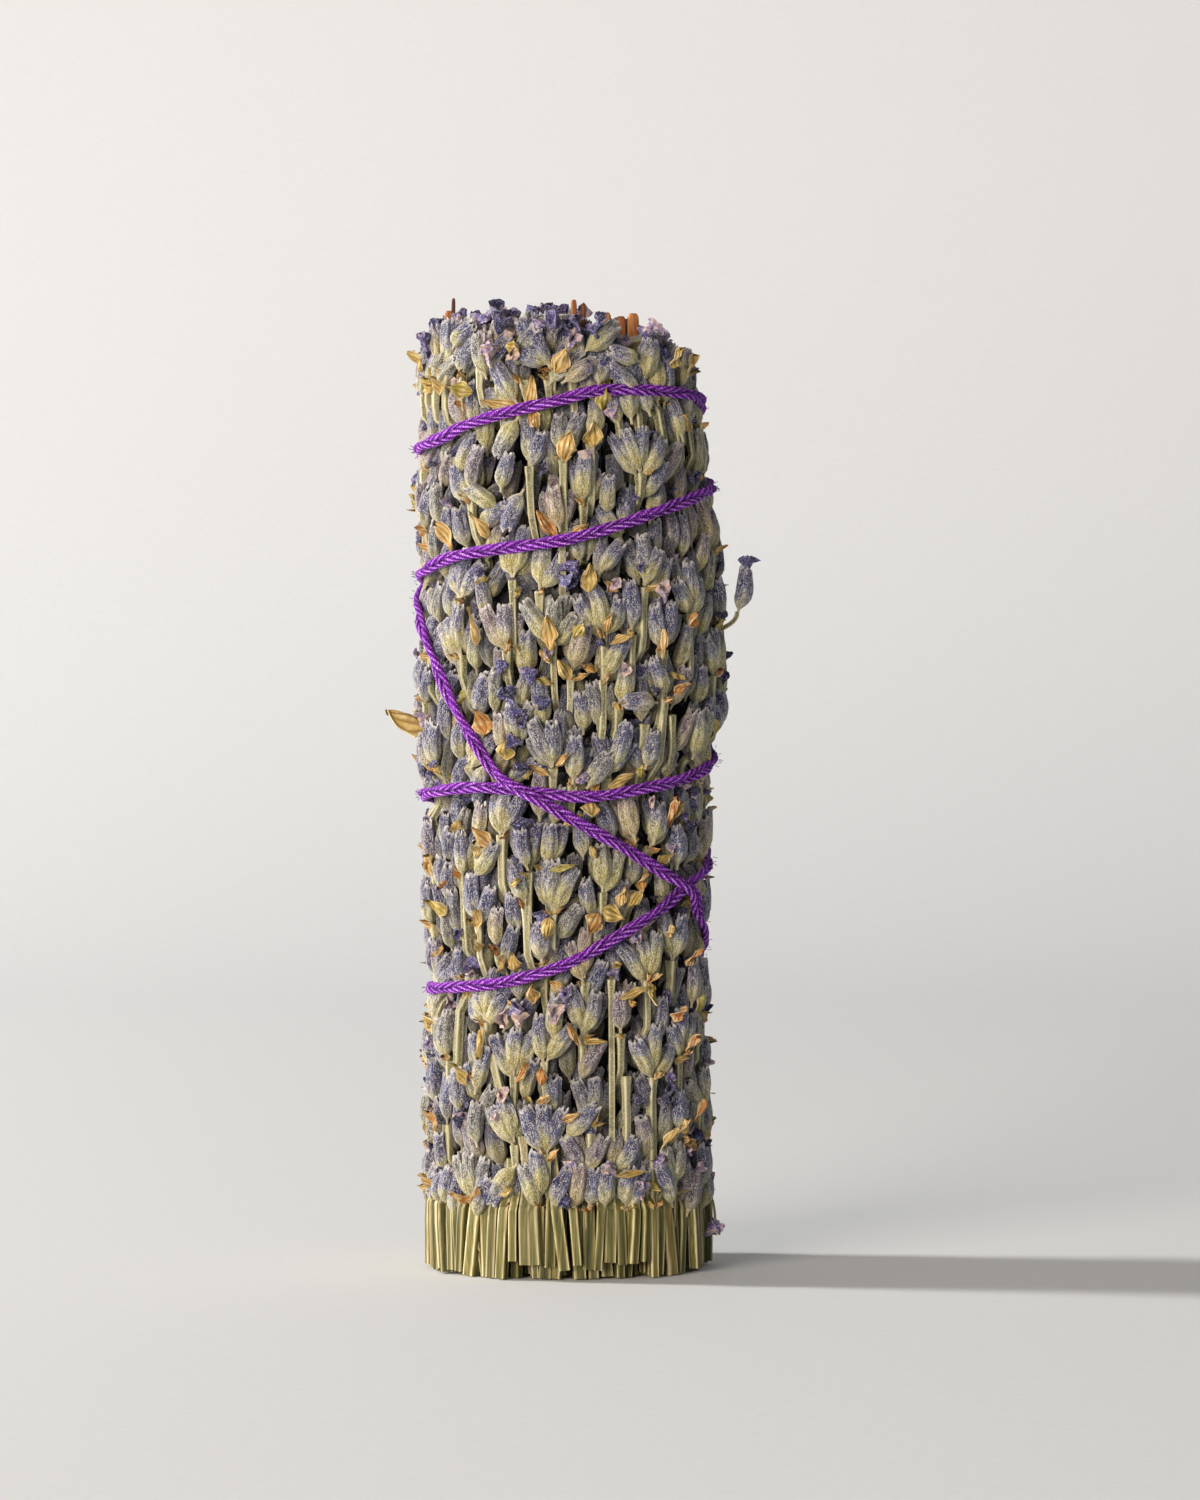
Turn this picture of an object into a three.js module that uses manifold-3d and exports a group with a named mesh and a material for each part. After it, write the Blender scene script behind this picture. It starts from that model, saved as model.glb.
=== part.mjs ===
// A small bunch of dried lavender that stands on its cut stems, bound all the way up and
// down with one purple cord. Millimetres, +Z up. The origin is the middle of the standing
// face, -Y is the front. A turn is an angle round the bunch in degrees: 0 is the front,
// 90 is the right side, 180 is the back.
//
// Eighteen sprigs make the outside. Each is a square stem with whorls of calyces and two
// short companion stems at its foot. The whorls of neighbours are set like bricks, so that
// stems show between them. Twelve sprigs fill the inside: a pressed column of flowers on
// four stems, with a crown of calyces at the top. The cord runs outside them all and is
// knotted at the back.
import * as THREE from "three";
import { mergeVertices } from "three/addons/utils/BufferGeometryUtils.js";
import Module from "manifold-3d";

const wasm = await Module();
wasm.setup();

// Driving dimensions.
const bunchHeight = 101.6; // four inches, to the highest broken stem
const gap = 0.32; // between one sprig and the next
const stemWidth = 1.2;
const cordWidth = 1.45;
const calyxLength = 8.8; // half as large again as life, so that the whorls cover the bunch
const calyxWidth = 3.4;
const bractLength = 4.6;
const bractWidth = 2.8;
const bractThickness = 0.8;

// The outline: height, radius of the flowers and sideways lean.
const girth = [
  [0, 15.3, 0.2],
  [20, 15.5, 0.0],
  [30, 15.2, 0.0],
  [48, 15.8, -0.1],
  [60, 16.6, 0.4],
  [72, 16.6, 0.3],
  [82, 16.3, -0.2],
  [91, 15.7, -0.7],
  [97, 15.0, -0.8],
];

// The outer sprigs.
const outerCount = 18;
const whorlPitch = 13.5;
const whorlRows = 8; // at most
const firstWhorl = [11, 4.5]; // height on even and odd sprigs
const fan = [
  { angle: -28, rise: 0 },
  { angle: 28, rise: 0 },
  { angle: 0, rise: 4.8 },
];
const fillers = { step: 2.4, angles: [-28, 28, 0] }; // single calyces where there is room
const rootShift = 0.25; // a calyx's foot, from the middle of its stem
const ownRoom = -0.2; // calyces of one sprig may sink this far into each other
const ridge = 1.1; // a calyx's outermost edge, from its middle line
const stemDepth = 3.1; // from the flowers' outline in to the stem's middle
const footDepth = 0.7; // the same at the cut end, where the stems show
const footHeight = [2, 12]; // the stems bend inwards between these heights
const stemLevels = [0, 3, 7, 12, 45, 66, 84];
const companionTurn = 6.5;
const companionLevels = [0, 3, 7, 11];

// The inner sprigs: how many, how far out, and how thick.
const innerRings = [
  { name: "middle_sprig", count: 9, phase: 0.5, out: 8.55, thick: 2.55 },
  { name: "heart_sprig", count: 3, phase: 0, out: 3.2, thick: 2.6 },
];
const columnEnds = [8, 90];
const footSpread = 1.25; // from a column's middle to its four stems
const crownLength = 8.4;
const crownSize = 3;
const crownWidth = 2.4;
const crownSpread = [1.15, 1.6]; // at the calyces' feet and at their tips

// Broken brown stems that stand above the crown: the sprigs that carry them, and their tops.
const brokenStems = { outer_sprig_06: bunchHeight, middle_sprig_05: 101.2, middle_sprig_06: 100.0 };

// The cord's route: turn, height. It climbs from the knot in rather more than three rounds,
// crosses itself at the back and comes down over itself in one and a half. Each row is a
// front or a back, from the left side or the right.
const cordRoute = [
  [-180, 27.5], [-120, 29], [-75, 29.5], [-30, 30.5], [0, 32.6], [30, 36.6], [65, 40.8],
  [90, 42.8], [120, 45], [180, 47.5], [240, 49],
  [285, 49.8], [325, 50.7], [365, 49.8], [390, 50.5], [430, 52.4],
  [480, 55.5], [540, 62.5], [600, 70.5],
  [650, 73.2], [675, 74.6], [715, 75.9], [735, 77.2], [765, 79.6], [810, 82],
  [900, 84], [960, 85],
  [1020, 86.5], [1040, 88], [1080, 90.4], [1100, 91.5], [1150, 91.2],
  [1190, 89.5], [1230, 85.5], [1270, 80], [1310, 74.5], [1350, 69],
  [1370, 65.7], [1390, 59.2], [1410, 52.7], [1430, 49.4], [1455, 45.7], [1480, 42.2], [1500, 39.5],
  [1515, 36.5], [1550, 32], [1590, 28.5], [1620, 27.5],
];
const cordRise = 0.15; // the cord's middle above the flowers' outline
const cordPress = 1.0; // how far it pushes the flowers in
const cordSides = 6;
const cordSteps = 110;
const knotRadius = 1.9;
const cordTails = [
  [[180, 27.5], [176, 24.0], [171, 19.0]],
  [[180, 27.5], [185, 23.5], [192, 20.5]],
];

// Loose bits that stick out of the outline, on the sprigs that carry them.
const strayBract = { turn: -86, height: 56.6, reach: 19.5, rise: 1.5 };
const strayCalyx = { turn: 84, height: 66.4, reach: 18.4, top: 73.6, width: 1.7 };

const radians = THREE.MathUtils.degToRad;

function numbered(name, index) {
  return `${name}_${String(index + 1).padStart(2, "0")}`;
}

// A repeatable draw from -1 to 1 for a pair of counters and a purpose.
function draw(i, k, purpose) {
  let h = (i * 73856093) ^ (k * 19349663) ^ (purpose * 83492791);
  h = Math.imul(h ^ (h >>> 13), 1274126177);
  h = Math.imul(h ^ (h >>> 16), 2246822519);
  return ((h ^ (h >>> 15)) >>> 0) / 2147483648 - 1;
}

// The outline's radius and lean at a height.
function outlineAt(z) {
  const last = girth.length - 1;
  if (z <= girth[0][0]) return { radius: girth[0][1], lean: girth[0][2] };
  if (z >= girth[last][0]) return { radius: girth[last][1], lean: girth[last][2] };
  const above = girth.findIndex((row) => row[0] > z);
  const [low, high] = [girth[above - 1], girth[above]];
  const share = THREE.MathUtils.smoothstep(z, low[0], high[0]);
  return {
    radius: THREE.MathUtils.lerp(low[1], high[1], share),
    lean: THREE.MathUtils.lerp(low[2], high[2], share),
  };
}

// The point at a turn, a distance out from the bunch's middle, and a height.
function at(turn, out, z) {
  const a = radians(turn);
  return new THREE.Vector3(outlineAt(z).lean + out * Math.sin(a), -out * Math.cos(a), z);
}

// The distance between two places on the outline, over the surface.
function surfaceDistance(turnA, zA, turnB, zB) {
  const across = THREE.MathUtils.euclideanModulo(turnA - turnB + 180, 360) - 180;
  return Math.hypot(radians(across) * outlineAt(zA).radius, zA - zB);
}

function spline(points, count) {
  return new THREE.SplineCurve(points.map(([x, y]) => new THREE.Vector2(x, y))).getPoints(count);
}

const cordSamples = spline(cordRoute, 600);
const tailSamples = cordTails.map((tail) => spline(tail, 12));
const pressSamples = [...cordSamples, ...tailSamples.flat()];

// How far the cord pushes the outline in at a place.
function pressedIn(turn, z) {
  const d = Math.min(...pressSamples.map((p) => surfaceDistance(turn, z, p.x, p.y)));
  return cordPress * (1 - THREE.MathUtils.smoothstep(d, 1.0, 4.6));
}

// How far a stretch of the cord is lifted by the stretches that it lies on.
function liftedOver(sample, samples) {
  const under = samples.filter((p) => p.x < sample.x - 200);
  if (!under.length) return 0;
  const d = Math.min(...under.map((p) => surfaceDistance(sample.x, sample.y, p.x, p.y)));
  return 1.15 * cordWidth * (1 - THREE.MathUtils.smoothstep(d, 0.7, 4.2));
}

// A closed three.js geometry as a solid for joining and cutting.
function solid(geometry) {
  const bare = geometry.clone();
  bare.deleteAttribute("normal");
  bare.deleteAttribute("uv");
  const merged = mergeVertices(bare, 1e-4);
  return new wasm.Manifold(
    new wasm.Mesh({
      numProp: 3,
      vertProperties: merged.getAttribute("position").array,
      triVerts: new Uint32Array(merged.index.array),
    }),
  );
}

function joined(solids) {
  return solids.reduce((all, one) => all.add(one));
}

function geometryOf(whole) {
  const mesh = whole.getMesh();
  const geometry = new THREE.BufferGeometry();
  geometry.setAttribute("position", new THREE.BufferAttribute(mesh.vertProperties, 3));
  geometry.setIndex(new THREE.BufferAttribute(mesh.triVerts, 1));
  const flat = geometry.toNonIndexed();
  flat.computeVertexNormals();
  return flat;
}

// A square stem through given heights, with level ends. The route gives the turn and the
// distance out of the stem's middle at a height.
function stem(levels, route) {
  const geometry = new THREE.BoxGeometry(stemWidth, stemWidth, levels.length - 1, 1, 1, levels.length - 1);
  const position = geometry.getAttribute("position");
  const corner = new THREE.Vector3();
  for (let i = 0; i < position.count; i++) {
    corner.fromBufferAttribute(position, i);
    const z = levels[Math.round(corner.z + (levels.length - 1) / 2)];
    const { turn, out } = route(z);
    const middle = at(turn, out, z);
    corner.applyAxisAngle(new THREE.Vector3(0, 0, 1), radians(turn));
    position.setXYZ(i, middle.x + corner.x, middle.y + corner.y, z);
  }
  return solid(geometry);
}

// A body with few sides from one point to another. The profile gives its half width at
// shares of the length, and an edge of it faces outwards as far as the depth says.
function bud(base, tip, profile, sides, depth, facing) {
  const axis = tip.clone().sub(base);
  const length = axis.length();
  const points = profile.map(([radius, share]) => new THREE.Vector2(radius, share * length));
  const geometry = new THREE.LatheGeometry(points, sides);
  geometry.scale(1, 1, depth);
  const up = axis.normalize();
  const side = new THREE.Vector3().crossVectors(up, facing).normalize();
  const out = new THREE.Vector3().crossVectors(side, up);
  geometry.applyMatrix4(new THREE.Matrix4().makeBasis(side, up, out).setPosition(base));
  return solid(geometry);
}

function outwards(turn) {
  return new THREE.Vector3(Math.sin(radians(turn)), -Math.cos(radians(turn)), 0);
}

// A calyx: three sides, narrow at the foot and open at the mouth.
const calyxShape = [[0, 0], [0.5, 0.6], [0.36, 1], [0, 1]];

function calyx(base, tip, width, facing) {
  const profile = calyxShape.map(([half, share]) => [(half * width * 2) / Math.sqrt(3), share]);
  return bud(base, tip, profile, 3, (ridge * Math.sqrt(3)) / width, facing);
}

function bract(base, tip, facing) {
  const profile = [[0, 0], [bractWidth / 2, 0.42], [0, 1]];
  return bud(base, tip, profile, 4, bractThickness / bractWidth, facing);
}

// What is already placed on each outer sprig, as rows of balls that fill each piece.
const placed = Array.from({ length: outerCount }, () => []);
const ownCalyces = Array.from({ length: outerCount }, () => []);

function ballsAlong(from, to, radii) {
  return radii.map((radius, k) => ({ middle: from.clone().lerp(to, (k + 1) / radii.length), radius }));
}

function isApart(balls, others, distance) {
  return balls.every((ball) =>
    others.every((other) => {
      const reach = Math.max(ball.radius + other.radius + distance, 0);
      return ball.middle.distanceToSquared(other.middle) > reach * reach;
    }),
  );
}

function isClear(balls, sprig) {
  return [-2, -1, 1, 2].every((step) => {
    return isApart(balls, placed[(sprig + step + outerCount) % outerCount], gap);
  });
}

// The outer stems' distance out: they stand wide at the foot and bend in below the flowers.
function stemOut(z) {
  const radius = outlineAt(z).radius;
  const bent = THREE.MathUtils.smoothstep(z, footHeight[0], footHeight[1]);
  return radius - THREE.MathUtils.lerp(footDepth, stemDepth, bent);
}

function topAt(turn) {
  return 97 + 2 * Math.cos(radians(turn)) - 1.5 * Math.sin(radians(turn));
}

// One calyx on an outer stem, out to the outline.
function stemCalyx(turn, rootTurn, height, angle, length) {
  const a = radians(angle);
  const out = outlineAt(height).radius;
  const tipTurn = rootTurn + THREE.MathUtils.radToDeg((length * Math.sin(a)) / out);
  const tipHeight = height + length * Math.cos(a);
  const sunk = [0.4, 0.65, 0.9].map((t) =>
    pressedIn(THREE.MathUtils.lerp(rootTurn, tipTurn, t), THREE.MathUtils.lerp(height, tipHeight, t)),
  );
  const base = at(rootTurn, stemOut(height), height);
  const tip = at(tipTurn, outlineAt(tipHeight).radius - ridge - Math.max(...sunk), tipHeight);
  const half = (0.52 * calyxWidth * length) / calyxLength;
  const balls = ballsAlong(base, tip, [0.3, 0.6, 0.9, 1, 0.85, 0.7].map((share) => share * half));
  return { base, tip, width: 2 * half, balls, facing: outwards(turn) };
}

// It turns towards its own stem, and then shrinks, until it is clear of its neighbours, and
// is left out where it never is.
function fitted(sprig, turn, rootTurn, height, angle) {
  for (const size of [1, 0.88, 0.76]) {
    for (const share of [1, 0.8, 0.6, 0.4]) {
      const made = stemCalyx(turn, rootTurn, height, angle * share, calyxLength * size);
      const upper = made.balls.slice(2);
      if (isClear(made.balls, sprig) && isApart(upper, ownCalyces[sprig], ownRoom)) {
        placed[sprig].push(...made.balls);
        ownCalyces[sprig].push(...upper);
        return calyx(made.base, made.tip, made.width, made.facing);
      }
    }
  }
  return null;
}

function whorlHeights(sprig, turn) {
  const first = firstWhorl[sprig % 2];
  const last = topAt(turn) - calyxLength - fan[2].rise;
  const steps = Math.round((last - first) / whorlPitch);
  return Array.from({ length: steps + 1 }, (_, k) => {
    const even = THREE.MathUtils.lerp(first, last, k / steps);
    return k === 0 || k === steps ? even : even + 0.9 * draw(sprig, k, 1);
  });
}

const outerTurns = Array.from(
  { length: outerCount },
  (_, i) => (360 / outerCount) * (i + 0.5) - 180 + 0.8 * draw(i, 0, 2),
);

function companionLean(z) {
  return THREE.MathUtils.lerp(companionTurn, 3, z / companionLevels[3]);
}

function outerStems(sprig) {
  const turn = outerTurns[sprig];
  const top = brokenStems[numbered("outer_sprig", sprig)] ?? topAt(turn) - calyxLength + 1.5;
  const parts = [stem([...stemLevels, top], (z) => ({ turn, out: stemOut(z) }))];
  for (const side of [-1, 1]) {
    const short = (sprig + side) % 3 ? 0 : 1.2 + 0.6 * draw(sprig, side, 5);
    const levels = [short, ...companionLevels.slice(1)];
    parts.push(stem(levels, (z) => ({ turn: turn + side * companionLean(z), out: stemOut(z) })));
  }
  return parts;
}

// The stems are placed before any calyx, and the loose bits that stick out.
const stemBalls = outerTurns.map((turn, sprig) => {
  for (let z = 0; z < topAt(turn) - calyxLength + 1.5; z += 1.1) {
    placed[sprig].push({ middle: at(turn, stemOut(z), z), radius: 0.68 });
    if (z > companionLevels[3]) continue;
    for (const side of [-1, 1]) {
      placed[sprig].push({ middle: at(turn + side * companionLean(z), stemOut(z), z), radius: 0.68 });
    }
  }
  for (const stray of [strayBract, strayCalyx].filter((one) => carries(sprig, one))) {
    const root = at(turn, stemOut(stray.height), stray.height);
    const end = at(stray.turn, stray.reach, stray.height + 2);
    placed[sprig].push(...ballsAlong(root, end, [0.6, 0.8, 1.2, 1.4, 1.4, 1.4]));
  }
  return placed[sprig].length;
});

function whorlBract(sprig, turn, height, side) {
  const tipTurn = turn + side * 7;
  const tipHeight = height + 0.85 * bractLength;
  const press = Math.max(pressedIn(turn, height), pressedIn(tipTurn, tipHeight));
  const base = at(turn, stemOut(height), height - 1.2);
  const tip = at(tipTurn, outlineAt(tipHeight).radius - 0.25 - press, tipHeight);
  const balls = ballsAlong(base, tip, [0.5, 1, 1.2, 0.9, 0.6]);
  if (!isClear(balls, sprig)) return null;
  placed[sprig].push(...balls);
  return bract(base, tip, outwards(turn));
}

function carries(sprig, stray) {
  return Math.abs(outerTurns[sprig] - stray.turn) < 180 / outerCount;
}

function strayOn(sprig) {
  const turn = outerTurns[sprig];
  const parts = [];
  if (carries(sprig, strayBract)) {
    const { height, reach, rise } = strayBract;
    const base = at(turn, stemOut(height), height);
    parts.push(bract(base, at(strayBract.turn, reach, height + rise), new THREE.Vector3(0, 0, 1)));
  }
  if (carries(sprig, strayCalyx)) {
    const { height, reach, top, width } = strayCalyx;
    const root = at(turn, stemOut(height), height);
    const elbow = at(strayCalyx.turn, reach - 0.6, height + 2.6);
    const mouth = at(strayCalyx.turn, reach, top);
    const stalk = [[0, 0], [0.45, 0.2], [0.45, 1], [0, 1]];
    parts.push(bud(root, elbow, stalk, 4, 1, outwards(turn)));
    parts.push(calyx(elbow.clone().setZ(elbow.z - 0.5), mouth, width, outwards(turn)));
  }
  return parts;
}

// One whorl of an outer sprig. The lowest one grows from all three stems.
function outerWhorl(sprig, k) {
  const turn = outerTurns[sprig];
  const height = whorlHeights(sprig, turn)[k];
  if (height === undefined) return [];
  const parts = fan.map(({ angle, rise }, j) => {
    const swung = angle + 5 * draw(sprig, 10 * k + j, 6);
    const rootTurn = turn + Math.sign(angle) * (k ? THREE.MathUtils.radToDeg(rootShift / 15) : 4);
    return fitted(sprig, turn, rootTurn, height + rise, k ? swung : swung / 2);
  });
  const side = draw(sprig, k, 7) > 0 ? 1 : -1;
  if ((k + 2 * sprig) % 3 === 0) parts.push(whorlBract(sprig, turn, height, side));
  return parts.filter(Boolean);
}

function outerFiller(sprig, z) {
  const turn = outerTurns[sprig];
  if (z > topAt(turn) - calyxLength) return [];
  return fillers.angles
    .map((angle) => fitted(sprig, turn, turn + Math.sign(angle), z, angle))
    .filter(Boolean);
}

// An inner sprig: four stems, a pressed column of flowers and a crown of calyces.
function innerSprig(ring, index) {
  const turn = (360 / ring.count) * (index + ring.phase) - 180;
  const middle = outwards(turn).multiplyScalar(ring.out);
  const [low, high] = columnEnds;
  const column = new THREE.CylinderGeometry(ring.thick, ring.thick, high - low, 6);
  column.rotateX(Math.PI / 2).rotateZ(radians(turn));
  column.translate(middle.x, middle.y, (low + high) / 2);
  const parts = [solid(column)];
  for (let k = 0; k < 4; k++) {
    const a = turn + 45 + 90 * k;
    const foot = outwards(a).multiplyScalar(footSpread).add(middle);
    parts.push(straightStem(foot, turn, 0, low + 2));
  }
  for (let k = 0; k < crownSize; k++) {
    const a = turn + (360 / crownSize) * (k + 0.5) + 25 * draw(ring.count, index, 8);
    const rise = crownLength + 1.1 * draw(ring.count + k, index, 9);
    const base = outwards(a).multiplyScalar(crownSpread[0]).add(middle).setZ(high - 1);
    const tip = outwards(a).multiplyScalar(crownSpread[1]).add(middle).setZ(high - 1 + rise);
    parts.push(calyx(base, tip, crownWidth, outwards(a)));
  }
  const broken = brokenStems[numbered(ring.name, index)];
  if (broken) parts.push(straightStem(middle, turn, high - 2, broken));
  return joined(parts);
}

function straightStem(foot, turn, bottom, top) {
  const geometry = new THREE.BoxGeometry(stemWidth, stemWidth, top - bottom);
  geometry.rotateZ(radians(turn)).translate(foot.x, foot.y, (bottom + top) / 2);
  return solid(geometry);
}

// A round cord along points, as one closed tube.
function tube(points, steps) {
  const section = new THREE.Shape(
    Array.from({ length: cordSides }, (_, k) => {
      const a = (2 * Math.PI * k) / cordSides;
      return new THREE.Vector2((cordWidth / 2) * Math.cos(a), (cordWidth / 2) * Math.sin(a));
    }),
  );
  const extrudePath = new THREE.CatmullRomCurve3(points);
  return solid(new THREE.ExtrudeGeometry(section, { steps, extrudePath, bevelEnabled: false }));
}

function boundCord() {
  const lay = (p, lift) => at(p.x, outlineAt(p.y).radius + cordRise + lift, p.y);
  const main = tube(cordSamples.map((p) => lay(p, liftedOver(p, cordSamples))), cordSteps);
  const tails = tailSamples.map((tail) => tube(tail.map((p, k) => lay(p, 0.5 * (1 - k / 12))), 4));
  const knot = new THREE.SphereGeometry(knotRadius, 8, 6);
  knot.scale(1.25, 0.8, 0.85);
  const middle = at(180, outlineAt(cordRoute[0][1]).radius + 0.9, cordRoute[0][1]);
  knot.translate(middle.x, middle.y, middle.z);
  return joined([main, solid(knot), ...tails]);
}

function mesh(name, whole, color, roughness) {
  const made = new THREE.Mesh(
    geometryOf(whole),
    new THREE.MeshStandardMaterial({ color, roughness, metalness: 0 }),
  );
  made.name = name;
  return made;
}

const bunch = new THREE.Group();
const outerParts = outerTurns.map((_, sprig) => [...outerStems(sprig), ...strayOn(sprig)]);
for (let k = 0; k < whorlRows; k++) {
  for (const parity of [k % 2, (k + 1) % 2]) {
    for (let i = parity; i < outerCount; i += 2) outerParts[i].push(...outerWhorl(i, k));
  }
}
for (let z = firstWhorl[1]; z < bunchHeight; z += fillers.step) {
  for (const i of [...outerTurns.keys()].reverse()) outerParts[i].push(...outerFiller(i, z));
}
outerParts.forEach((parts, sprig) => {
  bunch.add(mesh(numbered("outer_sprig", sprig), joined(parts), 0x8a8896, 0.95));
});
for (const ring of innerRings) {
  for (let i = 0; i < ring.count; i++) {
    bunch.add(mesh(numbered(ring.name, i), innerSprig(ring, i), 0xa39a72, 0.95));
  }
}
bunch.add(mesh("binding_cord", boundCord(), 0x6f2ba0, 0.75));

export default bunch;
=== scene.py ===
# Looks of a small bunch of dried lavender, bound with one purple cord and standing on
# its cut stems. Lengths are in millimetres until a mesh is made. A turn is an angle
# round the bunch in degrees: 0 is the front, 90 the right side, 180 the back.
import math
import random

import bpy
import numpy as np
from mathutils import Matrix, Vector


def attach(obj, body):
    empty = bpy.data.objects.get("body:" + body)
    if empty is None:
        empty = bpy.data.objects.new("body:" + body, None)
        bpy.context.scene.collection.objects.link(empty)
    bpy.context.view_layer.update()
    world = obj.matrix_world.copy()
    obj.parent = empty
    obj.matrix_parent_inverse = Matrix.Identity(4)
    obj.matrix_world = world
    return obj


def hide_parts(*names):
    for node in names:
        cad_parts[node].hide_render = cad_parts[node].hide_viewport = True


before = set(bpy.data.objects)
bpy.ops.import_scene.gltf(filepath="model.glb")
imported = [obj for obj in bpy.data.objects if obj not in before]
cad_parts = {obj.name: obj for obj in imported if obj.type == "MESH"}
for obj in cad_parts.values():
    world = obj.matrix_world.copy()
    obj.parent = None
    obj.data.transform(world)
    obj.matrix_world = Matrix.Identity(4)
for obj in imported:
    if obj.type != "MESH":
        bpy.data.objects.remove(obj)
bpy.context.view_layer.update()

rng = random.Random(41)
scene = bpy.context.scene
mm = 0.001  # in metres

# The camera stands where the photograph was taken from, a little above the middle.
camera = {
    "place": (0.003465, -0.600, 0.066),
    "pitchDown": 1.1186,  # degrees
    "lens": 91.43,
    "sensorHeight": 24,
    "photoSize": (1200, 1500),  # pixels
    "toFront": 585,  # millimetres from it to the front of the bunch
}


def placeCamera():
    data = bpy.data.cameras.new("studioCamera")
    data.sensor_fit = "VERTICAL"
    data.sensor_height = camera["sensorHeight"]
    data.lens = camera["lens"]
    data.clip_start = 0.01
    made = bpy.data.objects.new("studioCamera", data)
    made.location = camera["place"]
    made.rotation_euler = (math.radians(90 - camera["pitchDown"]), 0, 0)
    scene.collection.objects.link(made)
    scene.camera = made


placeCamera()
print("camera placed")

# The bunch's outline, as in the CAD source.
girth = np.array([  # height, radius of the flowers, sideways lean
    (0, 15.3, 0.2), (20, 15.5, 0.0), (30, 15.2, 0.0), (48, 15.8, -0.1), (60, 16.6, 0.4),
    (72, 16.6, 0.3), (82, 16.3, -0.2), (91, 15.7, -0.7), (97, 15.0, -0.8),
])


def smoothstep(value, low, high):
    share = np.clip((value - low) / (high - low), 0, 1)
    return share * share * (3 - 2 * share)


def outlineAt(z):
    z = np.clip(z, girth[0, 0], girth[-1, 0])
    row = np.clip(np.searchsorted(girth[:, 0], z, side="right") - 1, 0, len(girth) - 2)
    low, high = girth[row], girth[row + 1]
    share = smoothstep(z, low[..., 0], high[..., 0])
    return (low[..., 1] + (high[..., 1] - low[..., 1]) * share,
            low[..., 2] + (high[..., 2] - low[..., 2]) * share)


def at(turn, out, z):
    a = np.radians(turn)
    lean = outlineAt(z)[1]
    return np.stack(np.broadcast_arrays(lean + out * np.sin(a), -out * np.cos(a), z), -1)


def outwards(turn):
    a = math.radians(turn)
    return np.array([math.sin(a), -math.cos(a), 0.0])


# The height of the crown's rim, which rises to the front and to the left.
rim = {"height": 97, "frontRise": 2, "leftRise": 1.5}


def topAt(turn):
    a = math.radians(turn)
    return rim["height"] + rim["frontRise"] * math.cos(a) - rim["leftRise"] * math.sin(a)


# The turn and height at which a pixel of the photograph meets the bunch's outline.
def seenAt(x, y):
    wide, high = camera["photoSize"]
    focal = high * camera["lens"] / camera["sensorHeight"]
    pitch = math.radians(camera["pitchDown"])
    rise = (high / 2 - y) / focal
    ray = np.array([(x - wide / 2) / focal, math.cos(pitch) + rise * math.sin(pitch),
                    rise * math.cos(pitch) - math.sin(pitch)])
    eye = np.array(camera["place"]) / mm
    z = eye[2] + ray[2] * camera["toFront"]
    for _ in range(4):
        out, lean = outlineAt(z)
        beside = eye[:2] - [lean, 0]
        a, b, c = ray[:2] @ ray[:2], beside @ ray[:2], beside @ beside - out ** 2
        reach = (-b - math.sqrt(max(b * b - a * c, 0))) / a
        z = eye[2] + reach * ray[2]
    spot = beside + reach * ray[:2]
    return math.degrees(math.atan2(spot[0], -spot[1])), float(z)


# The cord's route, as in the CAD source.
cord = {
    "route": [  # turn, height
        (-180, 27.5), (-120, 29), (-75, 29.5), (-30, 30.5), (0, 32.6), (30, 36.6), (65, 40.8),
        (90, 42.8), (120, 45), (180, 47.5), (240, 49),
        (285, 49.8), (325, 50.7), (365, 49.8), (390, 50.5), (430, 52.4),
        (480, 55.5), (540, 62.5), (600, 70.5),
        (650, 73.2), (675, 74.6), (715, 75.9), (735, 77.2), (765, 79.6), (810, 82),
        (900, 84), (960, 85),
        (1020, 86.5), (1040, 88), (1080, 90.4), (1100, 91.5), (1150, 91.2),
        (1190, 89.5), (1230, 85.5), (1270, 80), (1310, 74.5), (1350, 69),
        (1370, 65.7), (1390, 59.2), (1410, 52.7), (1430, 49.4), (1455, 45.7), (1480, 42.2), (1500, 39.5),
        (1515, 36.5), (1550, 32), (1590, 28.5), (1620, 27.5),
    ],
    "tails": [
        [(180, 27.5), (176, 24.0), (171, 19.0)],
        [(180, 27.5), (185, 23.5), (192, 20.5)],
    ],
    "width": 1.24,
    "plyRadius": 0.28,  # share of the width
    "rise": -0.75,  # its middle above the flowers' outline, which it is pulled into
    "press": 1.6,  # how far it pushes the flowers in
    "pressBetween": (0.7, 2.6),  # distances from it over which the push fades
    "crossing": {"turnsApart": 200, "rise": 0.5, "sink": 0.4, "between": (0.6, 3.2)},
    "plies": 2,
    "rock": (0.75, 9.0),  # the plies lie side by side and rock this far, over this length
    "threads": 4,  # in a ply
    "threadPitch": 5.2,
    "threadDepth": 0.115,
    "uneven": 0.12,
    "step": 0.26,
    "sides": 16,
    "fray": {"length": 1.6, "opening": 1.6, "taper": 0.5},
    "knot": {"turn": 180, "height": 27.5, "proud": 0.9, "size": 1.25 / 2.2},
    "fuzz": {"count": 450, "length": (0.15, 0.42), "width": 0.05},
}


def alongRoute(points, count):
    points = np.array(points, float)
    last = len(points) - 1
    t = np.linspace(0, last, count + 1)
    k = np.minimum(t.astype(int), last - 1)
    w = (t - k)[:, None]
    before, a, b, after = (points[np.clip(k + n, 0, last)] for n in (-1, 0, 1, 2))
    va, vb = (b - before) / 2, (after - a) / 2
    return ((2 * a - 2 * b + va + vb) * w**3 + (-3 * a + 3 * b - 2 * va - vb) * w**2
            + va * w + a)


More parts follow.
